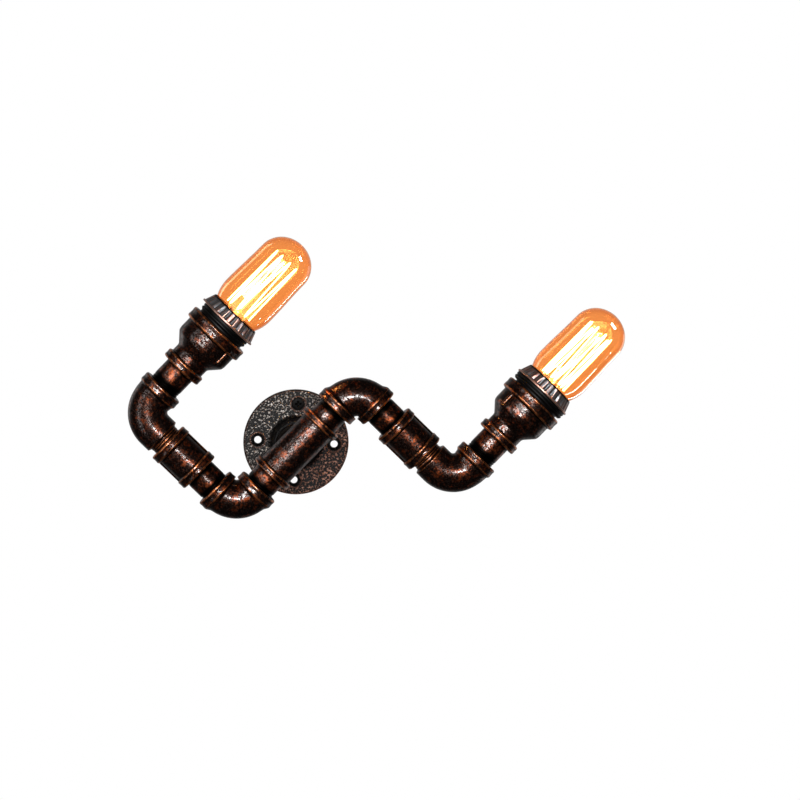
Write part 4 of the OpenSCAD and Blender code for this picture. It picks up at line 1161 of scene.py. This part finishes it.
share = np.linspace(0, 1, LOOPS * LOOP_STEPS + 1)
turn = np.radians(CAGE_OPEN / 2 + (360 - CAGE_OPEN) * share)
middle, reach = (FILAMENT_TOP + FILAMENT_LOW) / 2, (FILAMENT_TOP - FILAMENT_LOW) / 2
height = middle - reach * np.cos(FULL_TURN * LOOPS * share)
wave = np.stack([CAGE_R * np.cos(turn), CAGE_R * np.sin(turn), height], axis=1)
rod_top = FILAMENT_TOP - BUTTON_H / 2
stem = [
    (0.02, STEM_LOW, 0), (STEM_FOOT_R, STEM_LOW, 0.4), (9.5, STEM_LOW + 2, 2.0),
    (STEM_R, STEM_LOW + 7, 2.5), (STEM_R - 0.1, STEM_TOP - 3.5, 1.0),
    (ROD_R, STEM_TOP - 0.2, 0.4), (BUTTON_R, STEM_TOP + 0.8, 0.7),
    (BUTTON_R, STEM_TOP + 2.2, 0.7), (ROD_R, STEM_TOP + 3.2, 0.5),
    (ROD_R - 0.1, rod_top - 3.2, 0.5), (BUTTON_R, rod_top - 2.2, 0.7),
    (BUTTON_R, rod_top - 0.8, 0.7), (0.02, rod_top, 0),
]
for side in SIDES:
    rings = tube(wave, FILAMENT_R, FILAMENT_SIDES)
    lamp_piece(
        side, "cage_thread", "bulb", "glowing_filament", FILAMENT, "filament", rings, wrap=False
    )
    rings = shaped(stem, 1.0, angles=40)
    lamp_piece(side, "stem", "bulb", "stem_glass", CLEAR, "bulb_stem", rings, wrap=False)

# %% [markdown]
# Studio
#
# A pale floor well below the light keeps its shadow and fades into a white world. The world
# is white only for what the camera sees directly and through glass. In reflections it is dim
# behind the light and nearly black on the camera's side, so that dark metal keeps its depth.
#
# What the iron mirrors are softboxes. A long one from the lens to the upper left draws the
# streak, a far one above the camera the glow in the middle, a dim tall one the brown on the
# left, and two dim ones behind the thin grey rims. One lights matt colour only. The rings and
# the bulbs have boxes of their own, linked to them alone.

# %% Studio
FLOOR_Z, FLOOR_R = -0.8, 1.6
WHITE = (255, 255, 255)
AMBIENT = 0.08
LIGHT_MIDDLE = (0, -0.05, 0)

world = bpy.data.worlds.new("studio")
bpy.context.scene.world = world
world.use_nodes = True
r = Recipe(world.node_tree)
seen = r.node("ShaderNodeLightPath", output="Is Camera Ray")
through, in_metal = r.beside(seen, "Is Transmission Ray"), r.beside(seen, "Is Glossy Ray")
direction = r.node("ShaderNodeTexCoord", output="Generated")
depth = r.node("ShaderNodeSeparateXYZ", {}, {0: direction}, output="Y")
backdrop = r.ease(depth, 0.55, 0.98, 0.02, 0.35)
whole = seen.larger(through)
strength = whole + (1 - whole) * (in_metal * backdrop + (1 - in_metal) * AMBIENT)
r.fill(world.node_tree.nodes["Background"], {"Color": WHITE, "Strength": strength})

paper, r, surface = finish("floor_paper")
place = r.place_mm()
grain = r.mix(r.noise(place, 1.5, 2.0), (240, 240, 239), (246, 246, 245))
r.fill(surface, {"Base Color": grain, "Roughness": 0.9})
path = r.node("ShaderNodeLightPath", output="Is Camera Ray")
white = r.node("ShaderNodeEmission", {}, {"Color": WHITE, "Strength": 1.0})
fade = (0.6 + 0.4 * r.ease(r.vector("LENGTH", {0: place}, "Value"), 900.0, 1300.0)) * path
blend = r.node("ShaderNodeMixShader", {}, {0: fade, 1: Value(r, surface.outputs[0]), 2: white})
r.fill(paper.node_tree.nodes["Material Output"], {"Surface": blend})
bpy.ops.mesh.primitive_circle_add(
    vertices=COLUMNS, radius=FLOOR_R, fill_type="NGON", location=(0, 0, FLOOR_Z)
)
floor = bpy.context.object
floor.name = "floor"
floor.data.materials.append(paper)
floor.visible_glossy = False


def softbox(
    name, spot, width, height, watts, aim=LIGHT_MIDDLE, roll=0, glint=True, tint=(1, 1, 1)
):
    """A rectangular soft light; without glint it lights matt colour only."""
    light = add_object(name, bpy.data.lights.new(name, "AREA"))
    light.data.shape, light.data.size, light.data.size_y = "RECTANGLE", width, height
    light.data.energy, light.data.color = watts, tint
    light.location = spot
    turn = (Vector(aim) - Vector(spot)).to_track_quat("-Z", "Y").to_matrix()
    light.rotation_euler = (turn @ Matrix.Rotation(radians(roll), 3, "Z")).to_euler()
    light.visible_glossy = glint
    return light


def light_only(lights, name, pieces):
    lit = bpy.data.collections.new(name)
    for side in SIDES:
        lit.objects.link(bpy.data.objects[f"{pieces}_{side}"])
    for light in lights:
        light.light_linking.receiver_collection = lit


softbox("streak_box", (-0.294, -1.282, 0.389), 0.70, 0.18, 8.0, roll=-45)
softbox("lens_box", (0.1, -4.0, 0.5), 0.6, 0.6, 50.0)
softbox("key_box", (-0.65, -0.98, 0.70), 0.5, 0.5, 3.0, glint=False)
softbox("left_box", (-1.05, -0.88, 0.12), 0.5, 1.8, 3.4)
softbox("rear_right_box", (1.05, 0.9, -0.45), 0.5, 1.2, 1.5)
softbox("rear_left_box", (-1.15, 0.9, 0.35), 0.5, 1.2, 1.5)
ring_box = softbox("ring_box", (0.54, -0.92, 0.56), 0.3, 0.3, 5.0, aim=(0, -0.05, 0.05))
glass_lights = [
    softbox("right_strip", (0.66, -0.03, -0.66), 0.05, 0.6, 4.0),
    softbox("left_strip", (-0.70, 0.45, 0.70), 0.22, 0.9, 2.0, tint=(1.0, 0.86, 0.6)),
    softbox("rear_strip", (0.60, 0.65, -0.60), 0.05, 0.9, 3.0),
    softbox("dome_box", (0.91, -0.16, 0.50), 0.2, 0.3, 8.0, aim=(0, -0.05, 0.08)),
]
light_only(glass_lights, "bulb_glasses", "glass")
light_only([ring_box], "lamp_rings", "fluted_ring")
print("largest box difference:", max(PLACED, key=lambda placed: placed[1]))
